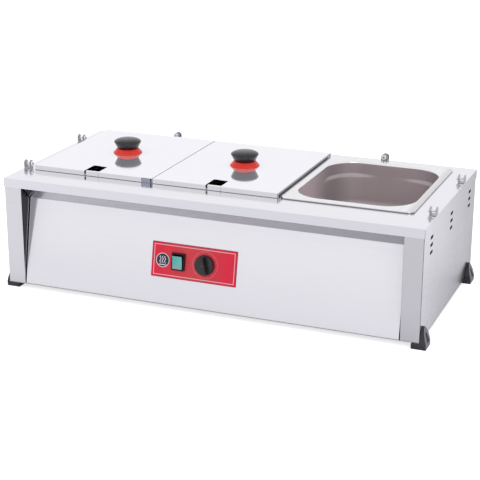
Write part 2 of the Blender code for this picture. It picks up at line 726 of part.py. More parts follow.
def make_lid(name, x):
    flange_bottom = DECK_TOP + FIT_GAP
    bm = box(LID_WIDTH, LID_DEPTH, LID_TOP - flange_bottom, flange_bottom)
    floor = [face for face in bm.faces if face.normal.z < -0.5]
    bmesh.ops.delete(bm, geom=floor, context="FACES")
    lid = add_part(f"lid_{name}", bm, POLISHED, location=(x, ROW_Y, 0))
    thicken(lid, LID_SHEET)

    front_y = ROW_Y - LID_DEPTH / 2
    cut_bottom = flange_bottom - OVERRUN
    cut_height = LID_TOP - flange_bottom + 2 * OVERRUN
    flange_cut = LID_TOP - LID_SHEET - FIT_GAP - cut_bottom
    half = LID_WIDTH / 2

    bm = box(NOTCH_WIDTH, NOTCH_LENGTH, cut_height, cut_bottom)
    cut(lid, add_cutter(f"cut_notch_{name}", bm, location=(x, front_y + NOTCH_STRIP + NOTCH_LENGTH / 2, 0)))
    bm = box(NOTCH_SLIT, NOTCH_STRIP + 2 * OVERRUN, cut_height, cut_bottom)
    slit_place = (x - (NOTCH_WIDTH - NOTCH_SLIT) / 2, front_y + NOTCH_STRIP / 2, 0)
    cut(lid, add_cutter(f"cut_slit_{name}", bm, location=slit_place))

    slits = [(x + NOTCH_WIDTH / 2 + TAB_SLIT / 2, TAB_SLIT)]
    if name == WELL_NAMES[0]:
        slits.append((x + half - END_TAB_GAP / 2 - LID_CORNER_SLIT / 2, END_TAB_GAP - LID_CORNER_SLIT))
        slits.append((x + half - END_TAB_GAP - END_TAB_WIDTH - TAB_SLIT / 2, TAB_SLIT))
    for i, (slit_x, width) in enumerate(slits):
        bm = box(width, LID_SHEET + 2 * OVERRUN, flange_cut, cut_bottom)
        cut(lid, add_cutter(f"cut_flange_{name}_{i}", bm, location=(slit_x, front_y, 0)))
    for i, (side_x, side_y) in enumerate(((1, 1), (-1, 1), (-1, -1), (1, -1))):
        bm = box(LID_CORNER_SLIT + OVERRUN, LID_CORNER_SLIT + OVERRUN, flange_cut, cut_bottom)
        reach = (OVERRUN - LID_CORNER_SLIT) / 2
        place = (x + side_x * (half + reach), ROW_Y + side_y * (LID_DEPTH / 2 + reach), 0)
        cut(lid, add_cutter(f"cut_corner_{name}_{i}", bm, location=place))
    hole_bottom = LID_TOP - LID_SHEET - OVERRUN
    hole = cylinder(LID_SCREW_RADIUS + FIT_GAP, LID_SHEET + 2 * OVERRUN, hole_bottom)
    cut(lid, add_cutter(f"cut_lid_hole_{name}", hole, location=(x, ROW_Y, 0)))


def make_lid_knob(name, x):
    bore = LID_SCREW_RADIUS + FIT_GAP
    place = {"location": (x, ROW_Y, LID_TOP + FIT_GAP)}
    turned(f"lid_collar_{name}", [
        (bore, COLLAR_HEIGHT),
        (NECK_RADIUS, COLLAR_HEIGHT),
        (COLLAR_RADIUS, COLLAR_EDGE),
        (COLLAR_RADIUS, 0),
        (bore, 0),
    ], RED, closed=True, **place)
    cap_bottom = COLLAR_HEIGHT + FIT_GAP
    cap_top = cap_bottom + CAP_HEIGHT
    screw_top = cap_bottom + LID_SCREW_BITE
    turned(f"lid_knob_{name}", [
        (0, cap_top),
        (CAP_TOP_RADIUS / 2, cap_top - CAP_DOME / 4),
        (CAP_TOP_RADIUS, cap_top - CAP_DOME),
        (CAP_RADIUS, cap_top - CAP_DOME - CAP_BEVEL),
        (NECK_RADIUS, cap_bottom),
        (bore, cap_bottom),
        (bore, screw_top + FIT_GAP),
        (0, screw_top + FIT_GAP),
    ], BLACK, **place)
    head_top = -FIT_GAP - LID_SHEET - FIT_GAP
    turned(f"lid_screw_{name}", [
        (0, screw_top),
        (LID_SCREW_RADIUS, screw_top),
        (LID_SCREW_RADIUS, head_top),
        (LID_SCREW_HEAD_RADIUS, head_top),
        (LID_SCREW_HEAD_RADIUS, head_top - LID_SCREW_HEAD),
        (0, head_top - LID_SCREW_HEAD),
    ], PLATED, sides=SMALL_SIDES, **place)


# Water tank, heating element and bulb

def element_xs():
    return ELEMENT_SHIFT - ELEMENT_LEG_PITCH / 2, ELEMENT_SHIFT + ELEMENT_LEG_PITCH / 2


def capillary_entry():
    return BULB_SHIFT + BULB_LENGTH / 2 + 2 * CAPILLARY_BEND, ELEMENT_Z


def make_tank():
    bm = rounded_box(2 * TANK_HALF_X, 2 * TANK_HALF_Y, TANK_DEPTH, TANK_CORNER_RADIUS, TANK_FLOOR)
    lower = [e for e in bm.edges if all(abs(v.co.z - TANK_FLOOR) < MERGE for v in e.verts)]
    bmesh.ops.bevel(
        bm, geom=lower, offset=TANK_FLOOR_RADIUS, segments=2, profile=ROUND_PROFILE, affect="EDGES")
    top = [f for f in bm.faces if f.normal.z > 0.5 and f.calc_center_median().z > TANK_TOP - MERGE]
    bmesh.ops.delete(bm, geom=top, context="FACES")
    tank = add_part("water_tank", bm, SATIN, location=(ROW_SHIFT, ROW_Y, 0))
    thicken(tank, TANK_WALL, 1.0)
    length = TANK_WALL + 2 * OVERRUN
    for name, x in zip(("left", "right"), element_xs()):
        bore = cylinder(ELEMENT_RADIUS + FIT_GAP, length)
        hole = along_y(bore, x, TANK_FRONT_Y + OVERRUN, ELEMENT_Z)
        cut(tank, add_cutter(f"cut_element_{name}", hole))
    x, z = capillary_entry()
    hole = along_y(cylinder(CAPILLARY_RADIUS + FIT_GAP, length), x, TANK_FRONT_Y + OVERRUN, z)
    cut(tank, add_cutter("cut_capillary", hole))


def make_element():
    left, right = element_xs()
    near = TANK_FRONT_Y + ELEMENT_WALL_GAP
    far = ROW_Y + TANK_HALF_Y - ELEMENT_WALL_GAP
    edge = TANK_HALF_X - ELEMENT_WALL_GAP
    tail = TANK_FRONT_Y - TANK_WALL - ELEMENT_TAIL
    corners = [
        (left, tail), (left, near), (ROW_SHIFT - edge, near), (ROW_SHIFT - edge, far),
        (ROW_SHIFT + edge, far), (ROW_SHIFT + edge, near), (right, near), (right, tail),
    ]
    points = rounded_route([(x, y, ELEMENT_Z) for x, y in corners], ELEMENT_BEND_RADIUS)
    tube("heating_element", points, ELEMENT_RADIUS, SATIN)
    start = TANK_FRONT_Y - TANK_WALL - FIT_GAP
    turn = (math.pi / 2, 0, 0)
    for name, x in zip(("left", "right"), (left, right)):
        turned(f"heater_gland_{name}", [
            (ELEMENT_RADIUS + FIT_GAP, ELEMENT_GLAND_LENGTH),
            (ELEMENT_GLAND_RADIUS, ELEMENT_GLAND_LENGTH),
            (ELEMENT_GLAND_RADIUS, 0),
            (ELEMENT_RADIUS + FIT_GAP, 0),
        ], BRASS, SMALL_SIDES, closed=True, location=(x, start, ELEMENT_Z), rotation=turn)


def make_bulb(frame):
    bulb_y = TANK_FRONT_Y + BULB_WALL_GAP + BULB_RADIUS
    end = BULB_SHIFT + BULB_LENGTH / 2
    turned("thermostat_bulb", [
        (0, BULB_LENGTH / 2),
        (BULB_RADIUS, BULB_LENGTH / 2),
        (BULB_RADIUS, -BULB_LENGTH / 2),
        (0, -BULB_LENGTH / 2),
    ], COPPER, SMALL_SIDES, location=(BULB_SHIFT, bulb_y, ELEMENT_Z), rotation=(0, math.pi / 2, 0))
    x, z = capillary_entry()
    back = behind(frame, KNOB_SHIFT, -THERMOSTAT_HEIGHT / 4, BODY_BACK - THERMOSTAT_DEPTH - FIT_GAP)
    clear = back + Vector((0, WIRE_STUB, 0))
    outside = TANK_FRONT_Y - TANK_WALL - 2 * CAPILLARY_BEND
    points = rounded_route([
        back, clear, (x, outside, clear.z), (x, outside, z), (x, bulb_y, z), (end + FIT_GAP, bulb_y, z),
    ], CAPILLARY_BEND / 2)
    tube("thermostat_capillary", points, CAPILLARY_RADIUS, COPPER, 1)


# Controls

def add_control_frame():
    # An empty at the panel's lower front edge, its y up the slope and its z out of the panel
    frame = bpy.data.objects.new("control_frame", None)
    frame.location = (0, FACE_Y, PANEL_BOTTOM)
    frame.rotation_euler = (math.pi / 2 - LEAN, 0, 0)
    PARTS.objects.link(frame)
    bpy.context.view_layer.update()
    return frame


def behind(frame, x, up, out):
    # A place given on the controls, in world coordinates
    return frame.matrix_world @ Vector((x, LABEL_UP + up, out))


def control_cutters(frame, label, start, height):
    switch = box(
        2 * (RECESS_WIDTH_HALF + SWITCH_BODY_WALL + FIT_GAP),
        2 * (RECESS_HALF + SWITCH_BODY_WALL + FIT_GAP), height, start)
    shaft = cylinder(SHAFT_RADIUS + CONTROL_HOLE_CLEARANCE, height, start, ROUND_SIDES)
    return [
        add_cutter(f"cut_switch_{label}", switch, location=(SWITCH_SHIFT, LABEL_UP, 0), parent=frame),
        add_cutter(f"cut_shaft_{label}", shaft, location=(KNOB_SHIFT, LABEL_UP, 0), parent=frame),
    ]


def make_label(frame):
    bm = box(LABEL_WIDTH, LABEL_HEIGHT, LABEL_THICKNESS, FIT_GAP)
    label = add_part("label_plate", bm, LABEL_RED, location=(LABEL_SHIFT, LABEL_UP, 0), parent=frame)
    for tool in control_cutters(frame, "label", FIT_GAP - OVERRUN, LABEL_THICKNESS + 2 * OVERRUN):
        cut(label, tool)


def make_switch(frame):
    place = {"location": (SWITCH_SHIFT, LABEL_UP, 0), "parent": frame}
    bezel_bottom = LABEL_FACE + FIT_GAP
    bm = box(SWITCH_BEZEL_WIDTH, SWITCH_BEZEL_HEIGHT, SWITCH_BEZEL_RISE, bezel_bottom)
    housing = add_part("switch_housing", bm, BLACK, **place)
    body_bottom = bezel_bottom - SWITCH_BODY_DEPTH
    bm = box(
        2 * (RECESS_WIDTH_HALF + SWITCH_BODY_WALL), 2 * (RECESS_HALF + SWITCH_BODY_WALL),
        SWITCH_BODY_DEPTH + SWITCH_BEZEL_RISE / 2, body_bottom)
    cut(housing, add_cutter("join_switch_body", bm, **place), "UNION")
    bezel_top = bezel_bottom + SWITCH_BEZEL_RISE
    bm = box(2 * RECESS_WIDTH_HALF, 2 * RECESS_HALF, bezel_top - RECESS_FLOOR + OVERRUN, RECESS_FLOOR)
    cut(housing, add_cutter("cut_rocker_recess", bm, **place))

    reach = math.sqrt(ROCKER_RADIUS ** 2 - ROCKER_RISE ** 2)
    low = math.asin(-ROCKER_DROP / ROCKER_RADIUS)
    high = math.asin(ROCKER_RISE / ROCKER_RADIUS)
    turns = [low + (high - low) * i / CORNER_STEPS for i in range(CORNER_STEPS + 1)]
    right_end = [(ROCKER_RADIUS * math.cos(turn), ROCKER_RADIUS * math.sin(turn)) for turn in turns]
    left_end = [(-x, y) for x, y in reversed(right_end)]
    outline = right_end + [(0, ROCKER_RISE - ROCKER_DIP)] + left_end
    mesh = outline_mesh("switch_rocker", outline, ROCKER_WIDTH)
    pivot = bpy.data.objects.new("rocker_pivot", None)
    pivot.parent = frame
    pivot.location = (SWITCH_SHIFT, LABEL_UP, ROCKER_PIVOT)
    pivot.rotation_euler = (ROCKER_TILT, 0, 0)
    PARTS.objects.link(pivot)
    add_object("switch_rocker", mesh, GREEN, rotation=(math.pi / 2, 0, math.pi / 2), parent=pivot)


def make_thermostat(frame):
    place = {"location": (KNOB_SHIFT, LABEL_UP, 0), "parent": frame}
    bm = box(THERMOSTAT_WIDTH, THERMOSTAT_HEIGHT, THERMOSTAT_DEPTH, BODY_BACK - THERMOSTAT_DEPTH)
    bmesh.ops.bevel(
        bm, geom=list(bm.edges), offset=THERMOSTAT_EDGE, segments=2, profile=ROUND_PROFILE, affect="EDGES")
    body = add_part("thermostat_body", bm, SATIN, **place)
    bore_bottom = BODY_BACK - SHAFT_BITE - FIT_GAP
    bore = cylinder(SHAFT_RADIUS + FIT_GAP, SHAFT_BITE + FIT_GAP + OVERRUN, bore_bottom)
    cut(body, add_cutter("cut_shaft_bore", bore, **place))

    knob_bottom = LABEL_FACE + KNOB_STANDOFF
    shaft_bottom = BODY_BACK - SHAFT_BITE
    shaft_length = knob_bottom + SHAFT_IN_KNOB - shaft_bottom
    add_part("thermostat_shaft", cylinder(SHAFT_RADIUS, shaft_length, shaft_bottom), PLATED, **place)

    skirt_top = knob_bottom + KNOB_SKIRT
    spun = dict(place, rotation=(0, 0, KNOB_REST_TURN))
    knob = turned("thermostat_knob", [
        (0, skirt_top),
        (KNOB_TOP_RADIUS, skirt_top),
        (KNOB_RADIUS, knob_bottom),
        (0, knob_bottom),
    ], BLACK, **spun)
    grip_length = 2 * math.sqrt(KNOB_TOP_RADIUS ** 2 - (KNOB_GRIP_WIDTH / 2) ** 2)
    grip_bottom = knob_bottom + KNOB_SKIRT / 2
    grip = box(KNOB_GRIP_WIDTH, grip_length, KNOB_GRIP_RISE + KNOB_SKIRT / 2, grip_bottom)
    cut(knob, add_cutter("join_grip", grip, **spun), "UNION")
    bore = cylinder(SHAFT_RADIUS + FIT_GAP, SHAFT_IN_KNOB + FIT_GAP + OVERRUN, knob_bottom - OVERRUN)
    cut(knob, add_cutter("cut_knob_bore", bore, **place))


def block_place():
    return CASE_WIDTH / 2 - BLOCK_INSET, FRONT_Y + BLOCK_BACK, FOOT_LIFT + SHEET + FIT_GAP


def make_terminal_block():
    x, y, z = block_place()
    bm = box(BLOCK_WIDTH, BLOCK_DEPTH, BLOCK_HEIGHT)
    block = add_part("terminal_block", bm, WHITE, location=(x, y, z))
    for i in range(WELL_COUNT):
        bore_x = x + (i - 1) * BLOCK_WIDTH / WELL_COUNT
        bore = cylinder(BLOCK_BORE, BLOCK_DEPTH + 2 * OVERRUN)
        hole = along_y(bore, bore_x, y + BLOCK_DEPTH / 2 + OVERRUN, z + BLOCK_HEIGHT / 2)
        cut(block, add_cutter(f"cut_block_{i}", hole))


def make_wires(frame):
    # Four leads in the space behind the controls: block, switch, thermostat, element and back
    switch_back = LABEL_FACE + FIT_GAP - SWITCH_BODY_DEPTH - FIT_GAP
    thermostat_back = BODY_BACK - THERMOSTAT_DEPTH - FIT_GAP
    switch_low = behind(frame, SWITCH_SHIFT, -RECESS_HALF / 2, switch_back)
    switch_high = behind(frame, SWITCH_SHIFT, RECESS_HALF / 2, switch_back)
    reach = THERMOSTAT_WIDTH / 4
    body_left = behind(frame, KNOB_SHIFT - reach, THERMOSTAT_HEIGHT / 4, thermostat_back)
    body_right = behind(frame, KNOB_SHIFT + reach, THERMOSTAT_HEIGHT / 4, thermostat_back)
    x, y, z = block_place()
    block_back = y + BLOCK_DEPTH / 2 + FIT_GAP
    block_z = z + BLOCK_HEIGHT / 2
    step = BLOCK_WIDTH / WELL_COUNT
    tail = TANK_FRONT_Y - TANK_WALL - ELEMENT_TAIL - FIT_GAP
    left, right = element_xs()
    stub = Vector((0, WIRE_STUB, 0))
    routes = {
        "wire_block_to_switch": [
            (x - step, block_back, block_z), (x - step, block_back + WIRE_STUB, block_z),
            (SWITCH_SHIFT, block_back + WIRE_STUB, block_z),
            (SWITCH_SHIFT, switch_low.y + WIRE_STUB, switch_low.z), switch_low],
        "wire_switch_to_thermostat": [switch_high, switch_high + stub, body_left + stub, body_left],
        "wire_thermostat_to_heater": [
            body_right, body_right + stub, (left, body_right.y + WIRE_STUB, body_right.z),
            (left, tail - WIRE_STUB, ELEMENT_Z), (left, tail, ELEMENT_Z)],
        "wire_heater_to_block": [
            (right, tail, ELEMENT_Z), (right, tail - WIRE_STUB, ELEMENT_Z),
            (right, tail - WIRE_STUB, block_z + WIRE_STUB),
            (x + step, block_back + WIRE_STUB, block_z + WIRE_STUB),
            (x + step, block_back + WIRE_STUB, block_z), (x + step, block_back, block_z)],
    }
    for name, corners in routes.items():
        tube(name, rounded_route(corners, WIRE_BEND / 2), WIRE_RADIUS, SHEATH, 1)


# Cord entry and back screws

def entry_place():
    # z runs out of the back panel from its outer face
    place = (CASE_WIDTH / 2 - ENTRY_INSET, BACK_Y - 2 * SKIN, PANEL_BOTTOM + ENTRY_UP)
    return {"location": place, "rotation": (-math.pi / 2, 0, 0)}


def make_cord_entry():
    inner = -SHEET - ENTRY_TAIL
    turned("cord_gland", [
        (ENTRY_BORE, FIT_GAP + ENTRY_HEX_LENGTH + ENTRY_DOME_LENGTH),
        (ENTRY_DOME_RADIUS, FIT_GAP + ENTRY_HEX_LENGTH + ENTRY_DOME_LENGTH),
        (ENTRY_HEX_RADIUS, FIT_GAP + ENTRY_HEX_LENGTH),
        (ENTRY_HEX_RADIUS, FIT_GAP),
        (ENTRY_THREAD_RADIUS, FIT_GAP),
        (ENTRY_THREAD_RADIUS, inner),
        (ENTRY_BORE, inner),
    ], BLACK, closed=True, **entry_place())
    nut_top = -SHEET - FIT_GAP
    turned("cord_gland_nut", [
        (ENTRY_THREAD_RADIUS + FIT_GAP, nut_top),
        (ENTRY_HEX_RADIUS, nut_top),
        (ENTRY_HEX_RADIUS, nut_top - ENTRY_NUT_LENGTH),
        (ENTRY_THREAD_RADIUS + FIT_GAP, nut_top - ENTRY_NUT_LENGTH),
    ], BLACK, closed=True, **entry_place())


def make_back_screws():
    for side, label in ((-1, "left"), (1, "right")):
        for level, (x, z) in zip(("lower", "upper"), back_screw_places(side)):
            turned(f"back_screw_{label}_{level}", [
                (0, FIT_GAP + BACK_SCREW_HEAD),
                (BACK_SCREW_HEAD_RADIUS, FIT_GAP),
                (BACK_SCREW_RADIUS, FIT_GAP),
                (BACK_SCREW_RADIUS, FIT_GAP - BACK_SCREW_LENGTH),
                (0, FIT_GAP - BACK_SCREW_LENGTH),
            ], PLATED, sides=SMALL_SIDES, location=(x, BACK_Y - SKIN, z), rotation=(-math.pi / 2, 0, 0))


# Glass clamps

def clamp_places():
    # Name, place on the deck and turn about z; the screw head points at the middle of the deck
    reach = CLAMP_EDGE + CLAMP_LENGTH / 2
    side_x = CASE_WIDTH / 2 - reach
    across = CASE_WIDTH / 2 - CLAMP_INSET_SIDE
    front_y = FRONT_Y + CLAMP_FRONT
    back_y = BACK_Y - CLAMP_INSET_BACK
    return [
        ("left_front", -side_x, front_y, math.pi / 2),
        ("left_back", -side_x, back_y, math.pi / 2),
        ("back_left", -across, BACK_Y - reach, 0.0),
        ("back_right", across, BACK_Y - reach, 0.0),
        ("right_front", side_x, front_y, -math.pi / 2),
        ("right_back", side_x, back_y, -math.pi / 2),
    ]


def ear_outline():
    half = CLAMP_WIDTH / 2
    turns = [math.pi * i / (2 * CORNER_STEPS) for i in range(2 * CORNER_STEPS + 1)]
    top = [(half * math.cos(turn), CLAMP_HEIGHT - half + half * math.sin(turn)) for turn in turns]
    return [(-half, 0), (half, 0)] + top


def make_clamp(name, x, y, turn):
    place = Matrix.Translation((x, y, DECK_TOP + FIT_GAP)) @ Matrix.Rotation(turn, 4, "Z")
    upright = Matrix.Rotation(math.pi / 2, 4, "X")
    mesh = outline_mesh(f"clamp_{name}", ear_outline(), CLAMP_LENGTH)
    bracket = add_object(f"clamp_{name}", mesh, PLATED)
    bracket.matrix_world = place @ upright
    slot = add_cutter(f"cut_slot_{name}", box(
        CLAMP_WIDTH + 2 * OVERRUN, CLAMP_LENGTH - 2 * CLAMP_EAR, CLAMP_HEIGHT, CLAMP_BASE))
    slot.matrix_world = place
    cut(bracket, slot)
    # The screw is built with z out of its head and turned to point out of the inner ear
    screw_place = place @ Matrix.Translation((0, -CLAMP_LENGTH / 2, CLAMP_SCREW_UP)) @ upright
    hole = add_cutter(f"cut_screw_{name}", cylinder(
        CLAMP_SCREW_RADIUS + FIT_GAP, CLAMP_EAR + 2 * OVERRUN, -CLAMP_EAR - OVERRUN))
    hole.matrix_world = screw_place
    cut(bracket, hole)
    tip = -(CLAMP_LENGTH - CLAMP_EAR - CLAMP_TIP_GAP)
    screw = turned(f"clamp_screw_{name}", [
        (0, FIT_GAP + CLAMP_HEAD - CLAMP_SOCKET_DEPTH),
        (CLAMP_SOCKET_RADIUS, FIT_GAP + CLAMP_HEAD - CLAMP_SOCKET_DEPTH),
        (CLAMP_SOCKET_RADIUS, FIT_GAP + CLAMP_HEAD),
        (CLAMP_HEAD_RADIUS, FIT_GAP + CLAMP_HEAD),
        (CLAMP_HEAD_RADIUS, FIT_GAP),
        (CLAMP_SCREW_RADIUS, FIT_GAP),
        (CLAMP_SCREW_RADIUS, tip),
        (0, tip),
    ], PLATED, sides=SMALL_SIDES)
    screw.matrix_world = screw_place


# Assembly

control_frame = add_control_frame()
make_deck()
make_base_plate()
for side_sign, side_name in ((-1, "left"), (1, "right")):
    make_side_panel(side_sign, side_name)
make_feet()
make_front_panel(control_frame)
make_back_panel()
make_tank()
make_element()
for well_name, well_x in zip(WELL_NAMES, WELL_XS):
    make_pan(well_name, well_x)
    if well_name in LIDDED_WELLS:
        make_lid(well_name, well_x)
        make_lid_knob(well_name, well_x)
make_label(control_frame)
make_switch(control_frame)
make_thermostat(control_frame)
make_bulb(control_frame)
make_terminal_block()
make_wires(control_frame)
make_cord_entry()
make_back_screws()
for clamp_name, clamp_x, clamp_y, clamp_turn in clamp_places():
    make_clamp(clamp_name, clamp_x, clamp_y, clamp_turn)

bpy.context.view_layer.update()
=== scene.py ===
# Countertop bain marie with three pans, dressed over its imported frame
import json
import math

import bmesh
import bpy
from mathutils import Matrix, Vector


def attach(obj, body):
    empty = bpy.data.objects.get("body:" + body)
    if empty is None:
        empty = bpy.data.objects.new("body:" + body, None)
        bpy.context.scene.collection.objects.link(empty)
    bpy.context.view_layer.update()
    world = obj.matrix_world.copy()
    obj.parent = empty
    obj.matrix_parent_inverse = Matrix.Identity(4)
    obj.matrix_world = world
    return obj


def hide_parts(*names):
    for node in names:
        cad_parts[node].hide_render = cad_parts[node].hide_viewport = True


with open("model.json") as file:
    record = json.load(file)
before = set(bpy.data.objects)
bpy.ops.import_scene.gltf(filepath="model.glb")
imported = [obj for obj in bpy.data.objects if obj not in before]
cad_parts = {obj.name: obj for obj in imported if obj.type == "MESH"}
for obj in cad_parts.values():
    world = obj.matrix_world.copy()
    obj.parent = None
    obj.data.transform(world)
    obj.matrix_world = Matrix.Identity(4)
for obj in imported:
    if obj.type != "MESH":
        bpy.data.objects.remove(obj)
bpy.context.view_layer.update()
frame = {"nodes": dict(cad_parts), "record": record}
print("frame loaded:", len(frame["nodes"]), "nodes")

# the case and the slope of its panel, as the frame has them
case = {
    "width": 0.870, "depth": 0.427, "frontY": -0.21935, "backY": 0.20765,
    "deckTop": 0.2325, "rim": 0.0185, "sheet": 0.001, "gap": 0.0003,
    "wallX": 0.4337, "recessX": 0.396, "faceY": -0.21805, "panelBottom": 0.0118, "panelTop": 0.2312,
}
slope = {
    "origin": Vector((0, case["faceY"], case["panelBottom"])),
    "across": Vector((1, 0, 0)),
    "up": Vector((0, 0.186699, 0.982417)),
    "out": Vector((0, -0.982417, 0.186699)),
    "row": 0.0885,
}
wellXs = {"left": -0.2735, "middle": -0.0065, "right": 0.2605}
rowY = 0.01885
touching, nearby = 0.00001, 0.0004  # closer than this is the same place, or in the same face
welded = 0.000005  # corners closer than this become one


# Node steps

tree = {}  # the nodes and links that the steps below add to


def openTree(owner):
    owner.use_nodes = True
    tree["nodes"], tree["links"] = owner.node_tree.nodes, owner.node_tree.links
    return tree["nodes"]


def setInputs(node, values):
    # a socket is linked, and anything else is set as the input's own value
    for key, value in values.items():
        if isinstance(value, bpy.types.NodeSocket):
            tree["links"].new(value, node.inputs[key])
        else:
            node.inputs[key].default_value = value
    return node.outputs


def addNode(kind, values, **settings):
    node = tree["nodes"].new(f"ShaderNode{kind}")
    for key, value in settings.items():
        setattr(node, key, value)
    return setInputs(node, values)


def opaque(colour):
    return (*colour, 1) if isinstance(colour, tuple) else colour


def calc(operation, *values):
    # one step of arithmetic on sockets and numbers
    return addNode("Math", dict(enumerate(values)), operation=operation)[0]


def objectPoint(stretch=(1, 1, 1), turn=(0, 0, 0), shift=(0, 0, 0)):
    # Object coordinates, stretched so that a pattern runs along one direction
    place = addNode("TexCoord", {})["Object"]
    return addNode("Mapping", {"Vector": place, "Scale": stretch, "Rotation": turn, "Location": shift})["Vector"]


def noiseOn(vector, scale, detail=3.0, roughness=0.55):
    values = {"Vector": vector, "Scale": scale, "Detail": detail, "Roughness": roughness}
    return addNode("TexNoise", values)["Fac"]


def spread(value, low, high, fromLow=0.3, fromHigh=0.7):
    values = {"Value": value, "From Min": fromLow, "From Max": fromHigh, "To Min": low, "To Max": high}
    return addNode("MapRange", values)["Result"]


def mixColours(share, first, second):
    return addNode("Mix", {"Factor": share, "A": opaque(first), "B": opaque(second)}, data_type="RGBA")["Result"]


def bumpOf(height, strength, distance, **under):
    return addNode("Bump", {"Height": height, "Strength": strength, "Distance": distance, **under})["Normal"]


def slopePoint():
    # distances across the leaning panel, up it and out of it, from the middle of the controls' row
    turn = Matrix((slope["across"], slope["up"], slope["out"]))
    shift = -(turn @ (slope["origin"] + slope["row"] * slope["up"]))
    return addNode("SeparateXYZ", {0: objectPoint(turn=turn.to_euler(), shift=shift)})


def band(value, middle, half, soft=0.0002):
    # 1 where the value is within half of the middle, with soft ends
    away = calc("ABSOLUTE", calc("SUBTRACT", value, middle))
    return spread(away, 1.0, 0.0, half - soft, half + soft)


def raySteps(cameraShare, shinyShare):
    # a strength for camera rays and another for glossy and transmission rays
    path = addNode("LightPath", {})
    shiny = calc("MAXIMUM", path["Is Glossy Ray"], path["Is Transmission Ray"])
    return calc("MULTIPLY_ADD", path["Is Camera Ray"], cameraShare, calc("MULTIPLY", shiny, shinyShare))


# Camera, floor and light

view = {
    "place": (0.96127, -2.42568, 0.97601), "turn": (71.1895, -0.1625, 21.8564), "lens": 99.52, "sensor": 36,
    "floor": 12.0, "floorColour": (0.84, 0.84, 0.86), "floorGlow": 0.64, "floorGlowShiny": 0.02,
    "fillColour": (0.98, 0.98, 1.0), "worldFill": 0.86, "roomGlow": 0.96, "shinyLamp": "lampFront",
}
lamps = [
    # name, place, aim, size, watts
    ("lampLeft", (-2.2, -1.2, 2.3), (-0.1, 0.0, 0.15), 1.8, 12),
    ("lampTop", (0.4, 0.6, 3.0), (0.1, 0.0, 0.2), 2.2, 10),
    ("lampFront", (1.4, -3.0, 1.7), (0.1, -0.2, 0.1), 1.6, 9),
]


def addCamera():
    bpy.ops.object.camera_add(location=view["place"], rotation=[math.radians(a) for a in view["turn"]])
    camera = bpy.context.object
    camera.name = "camera"
    camera.data.lens = view["lens"]
    camera.data.sensor_width = view["sensor"]
    camera.data.sensor_fit = "HORIZONTAL"
    camera.data.dof.use_dof = False
    bpy.context.scene.camera = camera


def addLamps():
    for name, place, aim, size, watts in lamps:
        bpy.ops.object.light_add(type="AREA", location=place)
        lamp = bpy.context.object
        lamp.name = name
        lamp.data.shape = "DISK"
        lamp.data.size = size
        lamp.data.energy = watts
        lamp.visible_glossy = name == view["shinyLamp"]
        lamp.rotation_euler = (Vector(aim) - Vector(place)).to_track_quat("-Z", "Y").to_euler()


def addFloor():
    bpy.ops.mesh.primitive_plane_add(size=view["floor"], location=(0, 0, 0))
    floor = bpy.context.object
    floor.name = "studioFloor"
    made = bpy.data.materials.new("studioFloor")
    setInputs(openTree(made)["Principled BSDF"], {
        "Base Color": opaque(view["floorColour"]), "Roughness": 0.9, "Specular IOR Level": 0.0,
        "Emission Color": (1, 1, 1, 1), "Emission Strength": raySteps(view["floorGlow"], view["floorGlowShiny"]),
    })
    floor.data.materials.append(made)


def addWorld():
    # white to the camera, a little less to shiny surfaces, and less again as a lamp
    world = bpy.data.worlds.new("studio")
    bpy.context.scene.world = world
    nodes = openTree(world)
    colour = opaque(view["fillColour"])
    fill = setInputs(nodes["Background"], {"Color": colour, "Strength": view["worldFill"]})
    room = addNode("Background", {"Color": colour, "Strength": view["roomGlow"]})
    white = addNode("Background", {"Color": (1, 1, 1, 1), "Strength": 1.0})
    indirect = addNode("MixShader", {"Fac": raySteps(0.0, 1.0), 1: fill[0], 2: room[0]})
    seen = addNode("MixShader", {"Fac": raySteps(1.0, 0.0), 1: indirect[0], 2: white[0]})
    setInputs(nodes["World Output"], {"Surface": seen[0]})


bpy.context.scene.view_settings.view_transform = "Standard"
addCamera()
addLamps()
addFloor()
addWorld()
print("camera, floor and light are in")


# Finishes

grainX, grainY, grainZ = (8, 900, 900), (900, 8, 900), (900, 900, 8)


def newFinish(name, colour, roughness, metallic=0.0, gloss=0.5):
    made = bpy.data.materials.new(name)
    shader = openTree(made)["Principled BSDF"]
    setInputs(shader, {
        "Base Color": opaque(colour), "Roughness": roughness, "Metallic": metallic, "Specular IOR Level": gloss})
    return made, shader


def steelFinish(name, colour, darker, roughness, along, metallic=1.0, shadeRamp=None, waviness=0.00002):
    # rolled sheet: fine streaks along one direction, faint smudges and a slight waviness
    made, shader = newFinish(name, colour, roughness, metallic)
    streaks = noiseOn(objectPoint(along), 1.0, 4.0, 0.7)
    smudges = noiseOn(objectPoint(), 9.0, 4.0, 0.6)
    tone = mixColours(spread(streaks, 0.0, 1.0), colour, darker)
    if shadeRamp:
        axis, start, end, share = shadeRamp  # painted shade: the sheet is darker towards one end
        way = addNode("SeparateXYZ", {0: objectPoint()})[axis]
        tone = mixColours(spread(way, 0.0, 1.0, start, end), tone, tuple(channel * share for channel in darker))
    waves = bumpOf(noiseOn(objectPoint(), 5.0, 1.0, 0.4), 0.6, waviness * 40)
    setInputs(shader, {
        "Base Color": tone,
        "Roughness": calc("ADD", spread(streaks, -0.02, 0.02), spread(smudges, roughness - 0.025, roughness + 0.045)),
        "Normal": bumpOf(streaks, 0.12, 0.00004, Normal=waves),
    })
    return made


